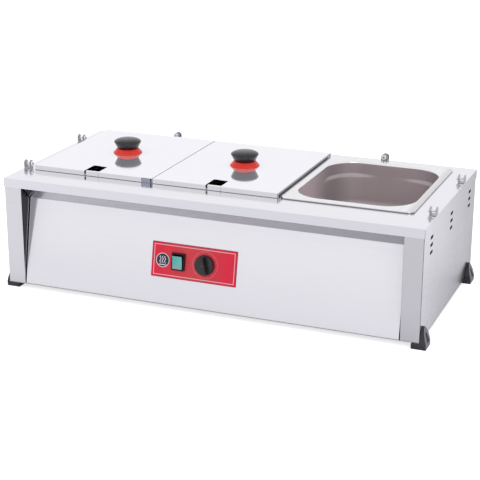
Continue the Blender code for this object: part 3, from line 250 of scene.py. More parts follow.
def plasticFinish(name, colour, worn, roughness, grainScale, grainDepth, gloss=0.5):
    # moulded plastic: cloudy colour, fine pebbled grain
    made, shader = newFinish(name, colour, roughness, gloss=gloss)
    clouds = noiseOn(objectPoint(), 60.0, 3.0)
    grain = noiseOn(objectPoint(), grainScale, 2.0)
    setInputs(shader, {
        "Base Color": mixColours(spread(clouds, 0.0, 1.0), colour, worn),
        "Roughness": spread(grain, roughness - 0.03, roughness + 0.05),
        "Normal": bumpOf(grain, 0.25, grainDepth),
    })
    return made


label = {
    "width": 0.180, "height": 0.070, "middleX": -0.0246, "low": 0.0003, "high": 0.0011,
    "switchX": -0.057, "switchHole": (0.0242, 0.0312), "shaftHole": 0.005,
    "corner": 0.0006, "edge": 0.00025, "lineInset": 0.0050, "lineWidth": 0.0013, "darkEdge": 0.0012,
    "red": (0.74, 0.020, 0.052), "palerRed": (0.67, 0.058, 0.072), "edgeRed": (0.36, 0.018, 0.045),
    "line": (0.86, 0.50, 0.56), "palerFrom": 0.072, "palerTo": 0.020,
    "dialX": -0.0012, "dialRadius": 0.0263, "dialLine": 0.00035, "ring": (0.74, 0.22, 0.27),
    "ticks": 12, "tickShare": 0.05, "tickLow": 0.0226, "tickHigh": 0.0250,
}
heatSign = {
    "x": -0.0912, "up": -0.001, "radius": 0.0136, "rim": 0.0011, "field": (0.028, 0.034, 0.060),
    "marks": (0.86, 0.82, 0.86), "waveLength": 0.0085, "swing": 0.0011, "halfLine": 0.0007, "pitch": 0.0050,
    "waveUp": 0.001, "waveHalf": 0.0072, "dishUp": -0.0090, "dishHalf": 0.0080,
}


def farFrom(x, up, middleX, middleUp=0.0):
    dx, dy = calc("SUBTRACT", x, middleX), calc("SUBTRACT", up, middleUp)
    return dx, dy, calc("SQRT", calc("MULTIPLY_ADD", dx, dx, calc("MULTIPLY", dy, dy)))


def labelFinish(name):
    # printed film: red with a dark edge, a white frame line, a dial ring and a plain heat sign
    made, shader = newFinish(name, label["red"], 0.22, gloss=0.25)
    x, up = slopePoint()[:2]
    fromMiddle = calc("ABSOLUTE", calc("SUBTRACT", x, label["middleX"]))
    paler = spread(fromMiddle, 1.0, 0.0, label["palerTo"], label["palerFrom"])
    clouds = noiseOn(objectPoint(), 45.0, 3.0)
    colour = mixColours(calc("MULTIPLY", paler, spread(clouds, 0.75, 1.0)), label["red"], label["palerRed"])
    inset = calc("MINIMUM", calc("SUBTRACT", label["width"] / 2, fromMiddle),
                 calc("SUBTRACT", label["height"] / 2, calc("ABSOLUTE", up)))
    colour = mixColours(band(inset, label["lineInset"], label["lineWidth"] / 2), colour, label["line"])
    edge = spread(inset, 1.0, 0.0, label["darkEdge"] * 0.7, label["darkEdge"] * 1.5)
    colour = mixColours(edge, colour, label["edgeRed"])
    # ring and ticks round the dial
    dialX, dialUp, radius = farFrom(x, up, label["dialX"])
    ring = band(radius, label["dialRadius"], label["dialLine"])
    turnShare = calc("FRACT", calc("MULTIPLY", calc("ARCTAN2", dialX, dialUp), label["ticks"] / (2 * math.pi)))
    tickHalf = (label["tickHigh"] - label["tickLow"]) / 2
    tick = calc("MULTIPLY", band(turnShare, 0.5, label["tickShare"], 0.02),
                band(radius, label["tickLow"] + tickHalf, tickHalf))
    colour = mixColours(calc("MAXIMUM", ring, calc("MULTIPLY", tick, 0.5)), colour, label["ring"])
    # a round dark sign with three rising waves of heat over a dish
    sign = heatSign
    signX, signUp, signRadius = farFrom(x, up, sign["x"], sign["up"])
    disc = spread(signRadius, 1.0, 0.0, sign["radius"] - 0.0002, sign["radius"] + 0.0002)
    colour = mixColours(disc, colour, sign["field"])
    rim = band(signRadius, sign["radius"], sign["rim"] / 2)
    swing = calc("MULTIPLY", calc("SINE", calc("MULTIPLY", signUp, 2 * math.pi / sign["waveLength"])), sign["swing"])
    waveX = calc("ABSOLUTE", calc("SUBTRACT", signX, swing))
    waves = calc("MAXIMUM", band(waveX, 0.0, sign["halfLine"]), band(waveX, sign["pitch"], sign["halfLine"]))
    waves = calc("MULTIPLY", waves, band(signUp, sign["waveUp"], sign["waveHalf"]))
    dish = calc("MULTIPLY", band(signUp, sign["dishUp"], sign["halfLine"]), band(signX, 0.0, sign["dishHalf"]))
    colour = mixColours(calc("MAXIMUM", rim, calc("MAXIMUM", waves, dish)), colour, sign["marks"])
    grain = noiseOn(objectPoint(), 1500.0, 2.0)
    setInputs(shader, {
        "Base Color": colour, "Roughness": spread(clouds, 0.18, 0.28), "Normal": bumpOf(grain, 0.15, 0.00001)})
    return made


lens = {
    # painted light: the top's colours from left to right, the greyer foot and the rib highlights
    "left": (0.085, 0.40, 0.37), "right": (0.115, 0.47, 0.42), "foot": (0.21, 0.35, 0.39), "footShare": 0.85,
    "rib": (0.60, 0.85, 0.83), "ribPitch": 0.0011, "ribShare": 0.12,
}


def lensFinish(name):
    # clear green rocker: painted light makes it brighter at the top and to the right and greyer at its foot, and paints
    # a highlight on each of its fine ribs
    made, shader = newFinish(name, (0.10, 0.44, 0.40), 0.24, gloss=0.35)
    x, up = slopePoint()[:2]
    fall = spread(up, 1.0, 0.0, -0.0125, -0.001)
    upper = mixColours(spread(x, 0.0, 1.0, -0.066, -0.048), lens["left"], lens["right"])
    colour = mixColours(calc("MULTIPLY", fall, lens["footShare"]), upper, lens["foot"])
    ribs = calc("SINE", calc("MULTIPLY", up, 2 * math.pi / lens["ribPitch"]))
    setInputs(shader, {
        "Base Color": mixColours(spread(ribs, 0.0, lens["ribShare"], -1.0, 1.0), colour, lens["rib"]),
        "Normal": bumpOf(ribs, 0.2, 0.00004),
    })
    return made


def returnFinish(name):
    # the post's inward face: painted shade, dark in the recess, with a painted reflection as a light strip beside the
    # leaning panel
    made, shader = newFinish(name, (0.03, 0.028, 0.034), 0.22, 1.0)
    out = slopePoint()[2]
    streaks = noiseOn(objectPoint(grainZ), 1.0, 3.0, 0.6)
    dark = mixColours(spread(streaks, 0.0, 1.0), (0.022, 0.020, 0.026), (0.045, 0.042, 0.050))
    setInputs(shader, {
        "Base Color": mixColours(band(out, 0.0035, 0.0016, 0.0006), dark, (0.52, 0.51, 0.55)),
        "Roughness": spread(streaks, 0.18, 0.28),
    })
    return made


def revealFinish(name):
    # the fold under the rim: less polished than the panel, with painted shade that darkens it, more so to the right
    made, shader = newFinish(name, (0.6, 0.59, 0.62), 0.22, 1.0)
    streaks = noiseOn(objectPoint(grainX), 1.0, 4.0, 0.7)
    way = addNode("SeparateXYZ", {0: objectPoint()})[0]
    colour = mixColours(spread(way, 0.0, 1.0, -0.3, 0.35), (0.60, 0.59, 0.61), (0.39, 0.38, 0.395))
    setInputs(shader, {
        "Base Color": mixColours(spread(streaks, 0.0, 0.2), colour, (0.36, 0.35, 0.38)),
        "Roughness": spread(streaks, 0.17, 0.27),
    })
    return made


steels = {
    # colour, streaks, roughness, grain, metallic, painted shade ramp (axis, start, end, share at the end), waviness
    # the ramps paint shade: the panel darker towards its foot, the side and the pan's inside darker towards the back,
    # the posts and the deck's front darker to the right, the right pan's rim darker at its right edge
    "deckSteel": ((0.90, 0.89, 0.92), (0.84, 0.83, 0.87), 0.13, grainX),
    "panelSteel": ((0.92, 0.91, 0.94), (0.86, 0.85, 0.89), 0.13, grainX, 0.56, (2, 0.19, 0.02, 0.95)),
    "lidSteel": ((0.955, 0.95, 0.985), (0.91, 0.905, 0.955), 0.06, grainY, 0.80, None, 0.00001),
    "sideSteel": ((0.85, 0.84, 0.87), (0.79, 0.78, 0.82), 0.26, grainY, 1.0, (1, -0.20, 0.22, 0.54)),
    # the next eight finishes are copies of the steel for some faces only: painted shade darkens the posts, the deck's
    # front, the lids' right ends, the end tab, the lids' front flanges and the lips, painted light makes the panel's
    # foot bend pale, and the corner bends are a thin dark line
    "postShadeSteel": ((0.78, 0.77, 0.80), (0.73, 0.72, 0.75), 0.20, grainX, 1.0, (0, -0.42, 0.30, 0.86)),
    "frontShadeSteel": ((0.84, 0.835, 0.87), (0.79, 0.785, 0.82), 0.18, grainX, 1.0, (0, -0.42, 0.30, 0.97)),
    "edgeShadeSteel": ((0.36, 0.36, 0.385), (0.30, 0.30, 0.325), 0.20, grainY, 0.9),
    "cornerLineSteel": ((0.12, 0.12, 0.135), (0.08, 0.08, 0.09), 0.20, grainZ, 0.9),
    "footFlangeLitSteel": ((0.93, 0.925, 0.94), (0.88, 0.875, 0.89), 0.35, grainX, 0.08),
    "tabShadeSteel": ((0.36, 0.375, 0.45), (0.31, 0.325, 0.40), 0.22, grainX, 0.8),
    "flangeShadeSteel": ((0.82, 0.81, 0.83), (0.76, 0.75, 0.77), 0.16, grainX),
    "lipShadeSteel": ((0.38, 0.37, 0.39), (0.31, 0.30, 0.32), 0.24, (300, 300, 900)),
    "innerSteel": ((0.66, 0.66, 0.68), (0.56, 0.56, 0.58), 0.30, grainX),
    "panSteel": ((0.78, 0.70, 0.715), (0.74, 0.66, 0.675), 0.54, (60, 60, 12), 0.88, (1, 0.02, 0.14, 0.60)),
    "rimSteel": ((0.93, 0.92, 0.92), (0.83, 0.82, 0.83), 0.16, (420, 12, 420), 1.0, (0, 0.376, 0.386, 0.84)),
    "platedSteel": ((0.50, 0.495, 0.53), (0.44, 0.435, 0.47), 0.30, (1500, 1500, 1500), 0.85),
    "screwSteel": ((0.90, 0.90, 0.92), (0.84, 0.83, 0.87), 0.45, (1500, 1500, 1500), 0.5),
    "brass": ((0.72, 0.55, 0.27), (0.58, 0.42, 0.20), 0.28, (400, 400, 40)),
    "copper": ((0.74, 0.42, 0.30), (0.52, 0.28, 0.20), 0.32, (300, 300, 300)),
}
plastics = {
    # colour, worn colour, roughness, grain scale, grain depth, gloss
    "blackGloss": ((0.0075, 0.0070, 0.0080), (0.0115, 0.0105, 0.0115), 0.13, 1400, 0.00001, 0.24),
    "dialBlack": ((0.016, 0.016, 0.018), (0.024, 0.023, 0.025), 0.28, 1400, 0.00001, 0.45),
    "capBlack": ((0.008, 0.008, 0.010), (0.012, 0.012, 0.014), 0.11, 1400, 0.00001, 0.5),
    "footEdgeSheen": ((0.17, 0.17, 0.185), (0.21, 0.21, 0.225), 0.50, 2200, 0.00003, 0.4),
    "blackFoot": ((0.022, 0.022, 0.027), (0.036, 0.036, 0.043), 0.42, 2200, 0.00004, 0.4),
    # this black is painted shade, for slots, gaps and sockets
    "paintedRecessShade": ((0.012, 0.012, 0.015), (0.020, 0.020, 0.024), 0.55, 2200, 0.00004, 0.3),
    "redGloss": ((0.80, 0.042, 0.026), (0.72, 0.034, 0.022), 0.22, 1200, 0.00001, 0.25),
    "whiteBlock": ((0.80, 0.79, 0.76), (0.70, 0.68, 0.64), 0.45, 1500, 0.00003),
    "wireSheath": ((0.30, 0.32, 0.36), (0.22, 0.24, 0.28), 0.50, 2600, 0.00005),
}
finishes = {
    "returnShadeSteel": returnFinish("returnShadeSteel"), "revealShadeSteel": revealFinish("revealShadeSteel"),
    "redLabel": labelFinish("redLabel"), "greenLens": lensFinish("greenLens"),
}
for finishName, settings in steels.items():
    finishes[finishName] = steelFinish(finishName, *settings)
for finishName, settings in plastics.items():
    finishes[finishName] = plasticFinish(finishName, *settings)
finishOfSlot = {
    "polished_steel": "deckSteel", "satin_steel": "innerSteel", "pressed_pan_steel": "panSteel",
    "plated_steel": "platedSteel", "brass": "brass", "copper": "copper", "black_phenolic": "blackGloss",
    "black_foot_plastic": "blackFoot", "red_plastic": "redGloss", "red_label": "redLabel",
    "green_lens": "greenLens", "white_block": "whiteBlock", "wire_sheath": "wireSheath",
}
for part in frame["record"]["subparts"]:
    for materialSlot in frame["nodes"][part["node"]].material_slots:
        materialSlot.material = finishes[finishOfSlot[part["material_slot"]]]
print("finishes are on the carried-over pieces")


# Working steps shared by the pieces

def selectOnly(piece):
    bpy.ops.object.select_all(action="DESELECT")
    bpy.context.view_layer.objects.active = piece
    piece.select_set(True)


def editPiece(piece):
    selectOnly(piece)
    bpy.ops.object.mode_set(mode="EDIT")


def editWhole(piece):
    editPiece(piece)
    bpy.ops.mesh.select_mode(type="FACE")
    bpy.ops.mesh.select_all(action="SELECT")


def endEdit():
    bpy.ops.object.mode_set(mode="OBJECT")


def pick(piece, kind, test):
    # selects only the verts, edges or faces that pass the test
    bpy.ops.mesh.select_mode(type=kind)
    bpy.ops.mesh.select_all(action="DESELECT")
    mesh = bmesh.from_edit_mesh(piece.data)
    items = {"VERT": mesh.verts, "EDGE": mesh.edges, "FACE": mesh.faces}[kind]
    for item in items:
        if test(item):
            item.select_set(True)
    bmesh.update_edit_mesh(piece.data)


def midpoint(edge):
    return (edge.verts[0].co + edge.verts[1].co) / 2


def alongAxis(edge, axis):
    line = (edge.verts[1].co - edge.verts[0].co).normalized()
    return abs(line[axis]) > 0.999


def isUpright(edge):
    return alongAxis(edge, 2)


def moveBy(x, y, z):
    return Matrix.Translation((x, y, z))


def turnBy(degrees, axis):
    return Matrix.Rotation(math.radians(degrees), 4, axis)


def nameIt(name):
    piece = bpy.context.object
    piece.name = name
    bpy.ops.object.transform_apply(location=True, rotation=True, scale=True)
    return piece


def addBlock(name, size, centre):
    bpy.ops.mesh.primitive_cube_add(size=1, location=centre, scale=size)
    return nameIt(name)


def addSlab(name, width, length, low, high, x=0.0, y=0.0):
    # a block between two heights
    return addBlock(name, (width, length, high - low), (x, y, (low + high) / 2))


def addDrum(name, radius, low, high, sides):
    # a round bar along z at the origin
    bpy.ops.mesh.primitive_cylinder_add(
        vertices=sides, radius=radius, depth=high - low, location=(0, 0, (low + high) / 2))
    return nameIt(name)


def joinTo(piece, other):
    selectOnly(piece)
    other.select_set(True)
    bpy.ops.object.join()


def placePiece(piece, matrix):
    selectOnly(piece)
    piece.matrix_world = matrix
    bpy.ops.object.transform_apply(location=True, rotation=True, scale=True)


def changeWhere(piece, kind, test, step, **settings):
    # one step on the verts, edges or faces that pass the test
    editPiece(piece)
    pick(piece, kind, test)
    step(**settings)
    endEdit()


def bevelWhere(piece, test, width, segments, kind="EDGE"):
    affect = "EDGES" if kind == "EDGE" else "VERTICES"
    changeWhere(piece, kind, test, bpy.ops.mesh.bevel, offset=width, segments=segments, profile=0.5, affect=affect)


def deleteFacesWhere(piece, test):
    changeWhere(piece, "FACE", test, bpy.ops.mesh.delete, type="FACE")


def taperTop(piece, shares, centre):
    isTop = lambda face: face.normal.z > 0.5
    changeWhere(piece, "FACE", isTop, bpy.ops.transform.resize, value=shares, center_override=centre)


def cutAcross(piece, point, normal):
    # new edges where a plane crosses the piece
    editWhole(piece)
    bpy.ops.mesh.bisect(plane_co=point, plane_no=normal)
    endEdit()


def applyStep(piece, kind, **settings):
    selectOnly(piece)
    bpy.ops.object.modifier_add(type=kind)
    step = piece.modifiers[-1]
    for key, value in settings.items():
        setattr(step, key, value)
    bpy.ops.object.modifier_apply(modifier=step.name)


def giveWall(piece, thickness):
    applyStep(piece, "SOLIDIFY", thickness=thickness, offset=-1.0, use_even_offset=True)


def removePiece(piece):
    bpy.data.objects.remove(piece, do_unlink=True)


def cutBy(piece, tool, operation="DIFFERENCE"):
    applyStep(piece, "BOOLEAN", operation=operation, solver="EXACT", object=tool)
    removePiece(tool)


def copyPiece(piece, name, matrix=None):
    selectOnly(piece)
    bpy.ops.object.duplicate(linked=False)
    made = bpy.context.object
    made.name = name
    if matrix:
        placePiece(made, matrix)
    return made


def tidyNormals(piece):
    editWhole(piece)
    bpy.ops.mesh.remove_doubles(threshold=welded)
    bpy.ops.mesh.normals_make_consistent(inside=False)
    endEdit()


def dress(piece, body, slotName, material, *nodes, angle=32, evenly=True):
    # shading, finish, body and the frame node that the piece stands for
    selectOnly(piece)
    bpy.ops.object.shade_smooth_by_angle(angle=math.radians(angle))
    if evenly:
        applyStep(piece, "WEIGHTED_NORMAL", keep_sharp=True, weight=60)
    if material:
        piece.data.materials.clear()
        piece.data.materials.append(finishes[material])
    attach(piece, body)
    if nodes:
        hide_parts(*nodes)


def paintWhere(piece, material, test):
    # a second finish on the faces that pass the test
    piece.data.materials.append(finishes[material])
    spot = len(piece.data.materials) - 1
    for face in piece.data.polygons:
        if test(face):
            face.material_index = spot


def addTurned(name, rings, sides):
    # a disc drawn up ring by ring: each ring is (radius, height), from the bottom to the top
    radius, height = rings[0]
    bpy.ops.mesh.primitive_circle_add(vertices=sides, radius=radius, fill_type="NGON", location=(0, 0, height))
    piece = nameIt(name)
    editWhole(piece)
    for (oldRadius, oldHeight), (newRadius, newHeight) in zip(rings, rings[1:]):
        bpy.ops.mesh.extrude_region_move(TRANSFORM_OT_translate={"value": (0, 0, newHeight - oldHeight)})
        share = newRadius / oldRadius
        bpy.ops.transform.resize(value=(share, share, 1), center_override=(0, 0, newHeight))
    endEdit()
    tidyNormals(piece)
    return piece


def addBentSheet(name, path, span, outward, bendRadius):
    # one flat strip, drawn on along the path edge by edge, bent round and given its thickness
    path, span = [Vector(point) for point in path], Vector(span)
    bpy.ops.mesh.primitive_plane_add(size=1)
    piece = nameIt(name)
    for vertex, place in zip(piece.data.vertices, (path[0], path[1], path[0] + span, path[1] + span)):
        vertex.co = place
    isAt = lambda edge, point: (midpoint(edge) - point - span / 2).length < touching
    editPiece(piece)
    for here, ahead in zip(path[1:], path[2:]):
        pick(piece, "EDGE", lambda edge: isAt(edge, here))
        bpy.ops.mesh.extrude_region_move(TRANSFORM_OT_translate={"value": ahead - here})
    bpy.ops.mesh.select_all(action="SELECT")
    bpy.ops.mesh.normals_make_consistent(inside=False)
    mesh = bmesh.from_edit_mesh(piece.data)
    first = min(mesh.faces, key=lambda face: (face.calc_center_median() - (path[0] + path[1] + span) / 2).length)
    if first.normal.dot(Vector(outward)) < 0:
        bpy.ops.mesh.flip_normals()
    endEdit()
    bevelWhere(piece, lambda edge: any(isAt(edge, bend) for bend in path[1:-1]), bendRadius, 4)
    giveWall(piece, case["sheet"])
    return piece


# Deck

deckSizes = {"bend": 0.0014, "wellRadius": 0.0635, "wellHalfX": 0.1206, "wellHalfY": 0.1449, "seam": 0.001}


def makeDeck():
    top, half, frontY = case["deckTop"], case["width"] / 2, case["frontY"]
    deck = addSlab("deckSheet", case["width"], case["depth"], top - case["rim"], top, 0, (frontY + case["backY"]) / 2)
    deleteFacesWhere(deck, lambda face: face.normal.z < -0.5)
    bevelWhere(deck, lambda edge: len(edge.link_faces) == 2, deckSizes["bend"], 4)
    giveWall(deck, case["sheet"])
    for x in wellXs.values():
        tool = addBlock("wellTool", (2 * deckSizes["wellHalfX"], 2 * deckSizes["wellHalfY"], 0.01), (x, rowY, top))
        bevelWhere(tool, isUpright, deckSizes["wellRadius"], 16)
        cutBy(deck, tool)
    dress(deck, "case", "polished_steel", "deckSteel", "deck")
    # painted shade: a darker, rougher copy of the steel on the deck's front face
    paintWhere(deck, "frontShadeSteel", lambda face: face.normal.y < -0.8 and face.center.y < frontY + nearby)
    # the corner bend is painted as a thin dark line
    paintWhere(deck, "cornerLineSteel", lambda face: (
        face.center.y < frontY + deckSizes["seam"] and abs(face.center.x) > half - deckSizes["seam"]
        and face.normal.y < -0.2 and abs(face.normal.x) > 0.2 and abs(face.normal.z) < 0.4))
    paintWhere(deck, "sideSteel", lambda face: abs(face.normal.x) > 0.8 and abs(face.center.x) > half - nearby)


makeDeck()
print("deck is made")


# Walls

ventSizes = {
    "length": 0.0195, "height": 0.0062, "columns": 3, "rows": 3,
    "front": 0.0578, "drop": 0.0325, "pitchUp": 0.0147, "pitchBack": 0.1565,
}
wallSizes = {"backFlange": 0.018, "return": 0.045, "bend": 0.0014}


def ventMiddles():
    # y and z of each slot
    frontY, topZ = case["frontY"] + ventSizes["front"], case["deckTop"] - ventSizes["drop"]
    return [(frontY + column * ventSizes["pitchBack"], topZ - row * ventSizes["pitchUp"])
            for column in range(ventSizes["columns"]) for row in range(ventSizes["rows"])]


def addVentTool(side):
    slots = []
    for y, z in ventMiddles():
        slot = addBlock("ventTool", (0.01, ventSizes["length"], ventSizes["height"]), (side * case["wallX"], y, z))
        bevelWhere(slot, lambda edge: alongAxis(edge, 0), ventSizes["height"] / 2 - 0.00002, 6)
        slots.append(slot)
    for slot in slots[1:]:
        joinTo(slots[0], slot)
    return slots[0]


def makeSideWall(side, name):
    wallX, recessX, faceY, low = side * case["wallX"], side * case["recessX"], case["faceY"], case["panelBottom"]
    backY = case["backY"] - case["gap"] - case["sheet"]
    path = [
        (wallX - side * wallSizes["backFlange"], backY, low), (wallX, backY, low), (wallX, faceY, low),
        (recessX, faceY, low), (recessX, faceY + wallSizes["return"], low),
    ]
    wall = addBentSheet(f"sideWall_{name}", path, (0, 0, case["panelTop"] - low), (0, 1, 0), wallSizes["bend"])
    cutBy(wall, addVentTool(side))
    dress(wall, "case", "satin_steel", "sideSteel", f"side_panel_{name}")
    # painted shade: the posts' front faces get a darker copy of the side's steel
    paintWhere(wall, "postShadeSteel", lambda face: face.normal.y < -0.7 and face.center.y < faceY + 0.0015)
    # painted shade: the slots' own faces are painted black; they are no further from a slot's middle than half its size
    # and a little
    vents, reachY, reachZ = ventMiddles(), ventSizes["length"] / 2 + 0.00075, ventSizes["height"] / 2 + 0.0009
    paintWhere(wall, "paintedRecessShade", lambda face: (
        abs(face.normal.x) < 0.5 and abs(face.center.x - wallX) < 0.002
        and any(abs(face.center.y - y) < reachY and abs(face.center.z - z) < reachZ for y, z in vents)))
    # the bend between post and side is painted as a thin dark line
    paintWhere(wall, "cornerLineSteel", lambda face: (
        face.normal.y < -0.25 and side * face.normal.x > 0.25 and face.center.y < faceY + 0.0014))
    # painted shade and a painted reflection strip on the posts' inward faces
    paintWhere(wall, "returnShadeSteel", lambda face: (
        side * face.normal.x < -0.7 and abs(face.center.x) < case["recessX"] + 0.0035))


panelSizes = {
    "halfWidth": 0.394, "footFlange": 0.014, "topY": -0.18485, "topZ": 0.1865, "bend": 0.0010, "tuck": 0.002,
    "endNotch": (0.0038, 0.0032),
}


def slopeMatrix(x=0.0, up=0.0):
    # x across the panel, y up its slope and z out of it
    turn = Matrix((slope["across"], slope["up"], slope["out"])).transposed().to_4x4()
    return Matrix.Translation(slope["origin"]) @ turn @ moveBy(x, up, 0)


def cutControls(piece, up, deep, sides, place):
    # the holes for the switch and the thermostat's shaft
    switchHole = addSlab("controlTool", *label["switchHole"], -deep, deep, label["switchX"], up)
    shaftHole = addDrum("controlTool", label["shaftHole"], -deep, deep, sides)
    placePiece(shaftHole, moveBy(label["dialX"], up, 0))
    for tool in (switchHole, shaftHole):
        placePiece(tool, place)
        cutBy(piece, tool)


def makeFrontPanel():
    half, faceY, low = panelSizes["halfWidth"], case["faceY"], case["panelBottom"]
    path = [
        (-half, faceY + panelSizes["footFlange"], low), (-half, faceY, low),
        (-half, panelSizes["topY"], panelSizes["topZ"]),
        (-half, faceY, case["deckTop"] - case["rim"] + panelSizes["tuck"]),
    ]
    panel = addBentSheet("frontPanelSheet", path, (2 * half, 0, 0), (0, 0, -1), panelSizes["bend"])
    cutControls(panel, slope["row"], 0.006, 24, slopeMatrix())
    notchX, notchY = half - panelSizes["endNotch"][0], faceY + panelSizes["endNotch"][1]
    cutAcross(panel, (notchX, 0, 0), (1, 0, 0))
    cutAcross(panel, (0, notchY, 0), (0, 1, 0))
    dress(panel, "case", "polished_steel", "panelSteel", "front_panel")
    # painted light: the panel's foot bend is pale and nearly matt, so that it shows no dark reflection
    paintWhere(panel, "footFlangeLitSteel", lambda face: face.center.z < low + 0.0012)
    onReveal = lambda face: face.normal.z < -0.45 and face.center.z > 0.15
    # painted shade on the fold under the rim
    paintWhere(panel, "revealShadeSteel", onReveal)
    # painted shade: the reveal's small end notch is painted black
    paintWhere(panel, "paintedRecessShade", lambda face: (
        onReveal(face) and face.center.x > notchX and face.center.y < notchY))


makeSideWall(-1, "left")
makeSideWall(1, "right")
makeFrontPanel()
print("walls are made")


# Pans

panSizes = {
    "halfX": 0.1316, "halfY": 0.1609, "outerRadius": 0.011, "roundSteps": 14, "sideCuts": 14, "straight": 0.05,
    "lip": 0.0037, "lipDark": 0.0022, "rimSide": 0.0145, "rimFront": 0.0195, "rimEdge": 0.0012, "rimDeep": 0.0042,
    "mouthRadius": 0.060, "mouthRound": 0.0045, "shoulderDrop": 0.0255, "shoulderFall": 0.008,
    "shoulderStep": 0.0003, "cornerStep": 0.0036, "cornerReach": 0.110, "cornerFade": 0.05,
    "mouthSteps": 5, "shoulderSteps": 6, "floorSteps": 9, "upperDraft": 0.0001,
    "draft": 0.003, "floorRadius": 0.020, "height": 0.100, "wall": 0.0008, "top": 0.2365,
}


def addRoundedPlane(name, halfX, halfY, radius):
    bpy.ops.mesh.primitive_plane_add(size=1, location=(0, 0, panSizes["top"]))
    bpy.context.object.scale = (2 * halfX, 2 * halfY, 1)
    piece = nameIt(name)
    bevelWhere(piece, lambda vert: True, radius, panSizes["roundSteps"], "VERT")
    isStraight = lambda edge: edge.calc_length() > panSizes["straight"]
    changeWhere(piece, "EDGE", isStraight, bpy.ops.mesh.subdivide, number_cuts=panSizes["sideCuts"])
    return piece


def arcSteps(radius, count):
    # a quarter round in steps: each is (the way it sets out, the way it turns to)
    turns = [i / count * math.pi / 2 for i in range(count + 1)]
    return [(radius * (math.sin(b) - math.sin(a)), radius * (math.cos(a) - math.cos(b)))
            for a, b in zip(turns, turns[1:])]


def ease(value):
    # from 0 to 1 with a soft start and end
    share = min(max(value, 0.0), 1.0)
    return share * share * (3 - 2 * share)


def makePan():
    sizes = panSizes
    halfX, halfY, top, mouthRound = sizes["halfX"], sizes["halfY"], sizes["top"], sizes["mouthRound"]
    pan = addRoundedPlane("panSheet", halfX, halfY, sizes["outerRadius"])
    mouth = addRoundedPlane("panMouth", halfX - sizes["rimSide"] + mouthRound, halfY - sizes["rimFront"] + mouthRound,
                            sizes["mouthRadius"] + mouthRound)
    # the mouth is drawn down: round edge, wall, shoulder, drafted wall and round floor
    editWhole(mouth)
    moves = arcSteps(mouthRound, sizes["mouthSteps"]) + [(sizes["upperDraft"], sizes["shoulderDrop"] - mouthRound)]
    count = sizes["shoulderSteps"]
    shares = [ease(i / count) for i in range(count + 1)]
    moves += [(sizes["shoulderStep"] * (b - a), sizes["shoulderFall"] / count) for a, b in zip(shares, shares[1:])]
    drafted = sizes["height"] - sizes["shoulderDrop"] - sizes["shoulderFall"] - sizes["floorRadius"]
    moves += [(sizes["draft"] / 2, drafted / 2)] * 2
    moves += [(inward, down) for down, inward in arcSteps(sizes["floorRadius"], sizes["floorSteps"])]
    for inward, down in moves:
        bpy.ops.mesh.inset(thickness=inward, depth=-down, use_even_offset=True)
    endEdit()
    # below the shoulder the corners stand further in, so that pans can be stacked
    for vert in mouth.data.vertices:
        fall = (top - sizes["shoulderDrop"] - vert.co.z) / sizes["shoulderFall"]
        nearX = (abs(vert.co.x) - halfX + sizes["cornerReach"]) / sizes["cornerFade"]
        nearY = (abs(vert.co.y) - halfY + sizes["cornerReach"]) / sizes["cornerFade"]
        step = sizes["cornerStep"] * ease(fall) * ease(nearX) * ease(nearY)
        vert.co.x -= math.copysign(step, vert.co.x)
        vert.co.y -= math.copysign(step, vert.co.y)
    # the lip turns down round the outer edge, then the flat rim joins the two loops
    editWhole(pan)
    bpy.ops.mesh.extrude_region_move(TRANSFORM_OT_translate={"value": (0, 0, -sizes["lip"])})
    endEdit()
    deleteFacesWhere(pan, lambda face: abs(face.normal.z) > 0.5)
    cutAcross(pan, (0, 0, top - sizes["lipDark"]), (0, 0, 1))
    joinTo(pan, mouth)
    editPiece(pan)
    mesh = bmesh.from_edit_mesh(pan.data)
    loops = [vert for vert in mesh.verts
             if vert.co.z > top - touching and any(len(edge.link_faces) == 1 for edge in vert.link_edges)]
    roundX, roundY = halfX - sizes["outerRadius"] - touching, halfY - sizes["outerRadius"] - touching
    onEdge = [vert for vert in loops if (
        abs(vert.co.x) > halfX - 0.005 or abs(vert.co.y) > halfY - 0.005
        or (abs(vert.co.x) > roundX and abs(vert.co.y) > roundY))]
    byTurn = lambda vert: math.atan2(vert.co.y, vert.co.x)
    rimLoop = sorted(onEdge, key=byTurn)
    mouthLoop = sorted([vert for vert in loops if vert not in onEdge], key=byTurn)
    for i, vert in enumerate(rimLoop):
        j = (i + 1) % len(rimLoop)
        mesh.faces.new((vert, rimLoop[j], mouthLoop[j], mouthLoop[i]))
    bmesh.update_edit_mesh(pan.data)
    bpy.ops.mesh.select_all(action="SELECT")
    bpy.ops.mesh.normals_make_consistent(inside=False)
    mesh = bmesh.from_edit_mesh(pan.data)
    floor = min(mesh.faces, key=lambda face: face.calc_center_median().z)
    if floor.normal.z < 0:
        bpy.ops.mesh.flip_normals()
    endEdit()
    isBend = lambda edge: midpoint(edge).z > top - touching and edge.calc_face_angle(0) > 1.2
    bevelWhere(pan, isBend, sizes["rimEdge"], 4)
    giveWall(pan, sizes["wall"])
    return pan


def paintPan(pan, middleX, isOpen):
    # the rim stays bright, the drawn inside is darker and satin, and the lip's outside gets painted shade
    sizes = panSizes
    pan.data.materials.clear()
    for material in ("panSteel", "rimSteel", "lipShadeSteel"):
        pan.data.materials.append(finishes[material])
    # the covered pans' lips are painted dark all the way up, as shade seen through the lids' slits
    darkBelow = sizes["top"] - (sizes["lipDark"] if isOpen else 0.00005)
    for face in pan.data.polygons:
        onRim = face.center.z > sizes["top"] - sizes["rimDeep"]
        onLip = onRim and abs(face.normal.z) < 0.97 and face.center.z < darkBelow
        inMouth = (abs(face.center.x - middleX) < sizes["halfX"] - 0.003
                   and abs(face.center.y - rowY) < sizes["halfY"] - 0.003)
        face.material_index = 2 if onLip and not inMouth else 1 if onRim else 0


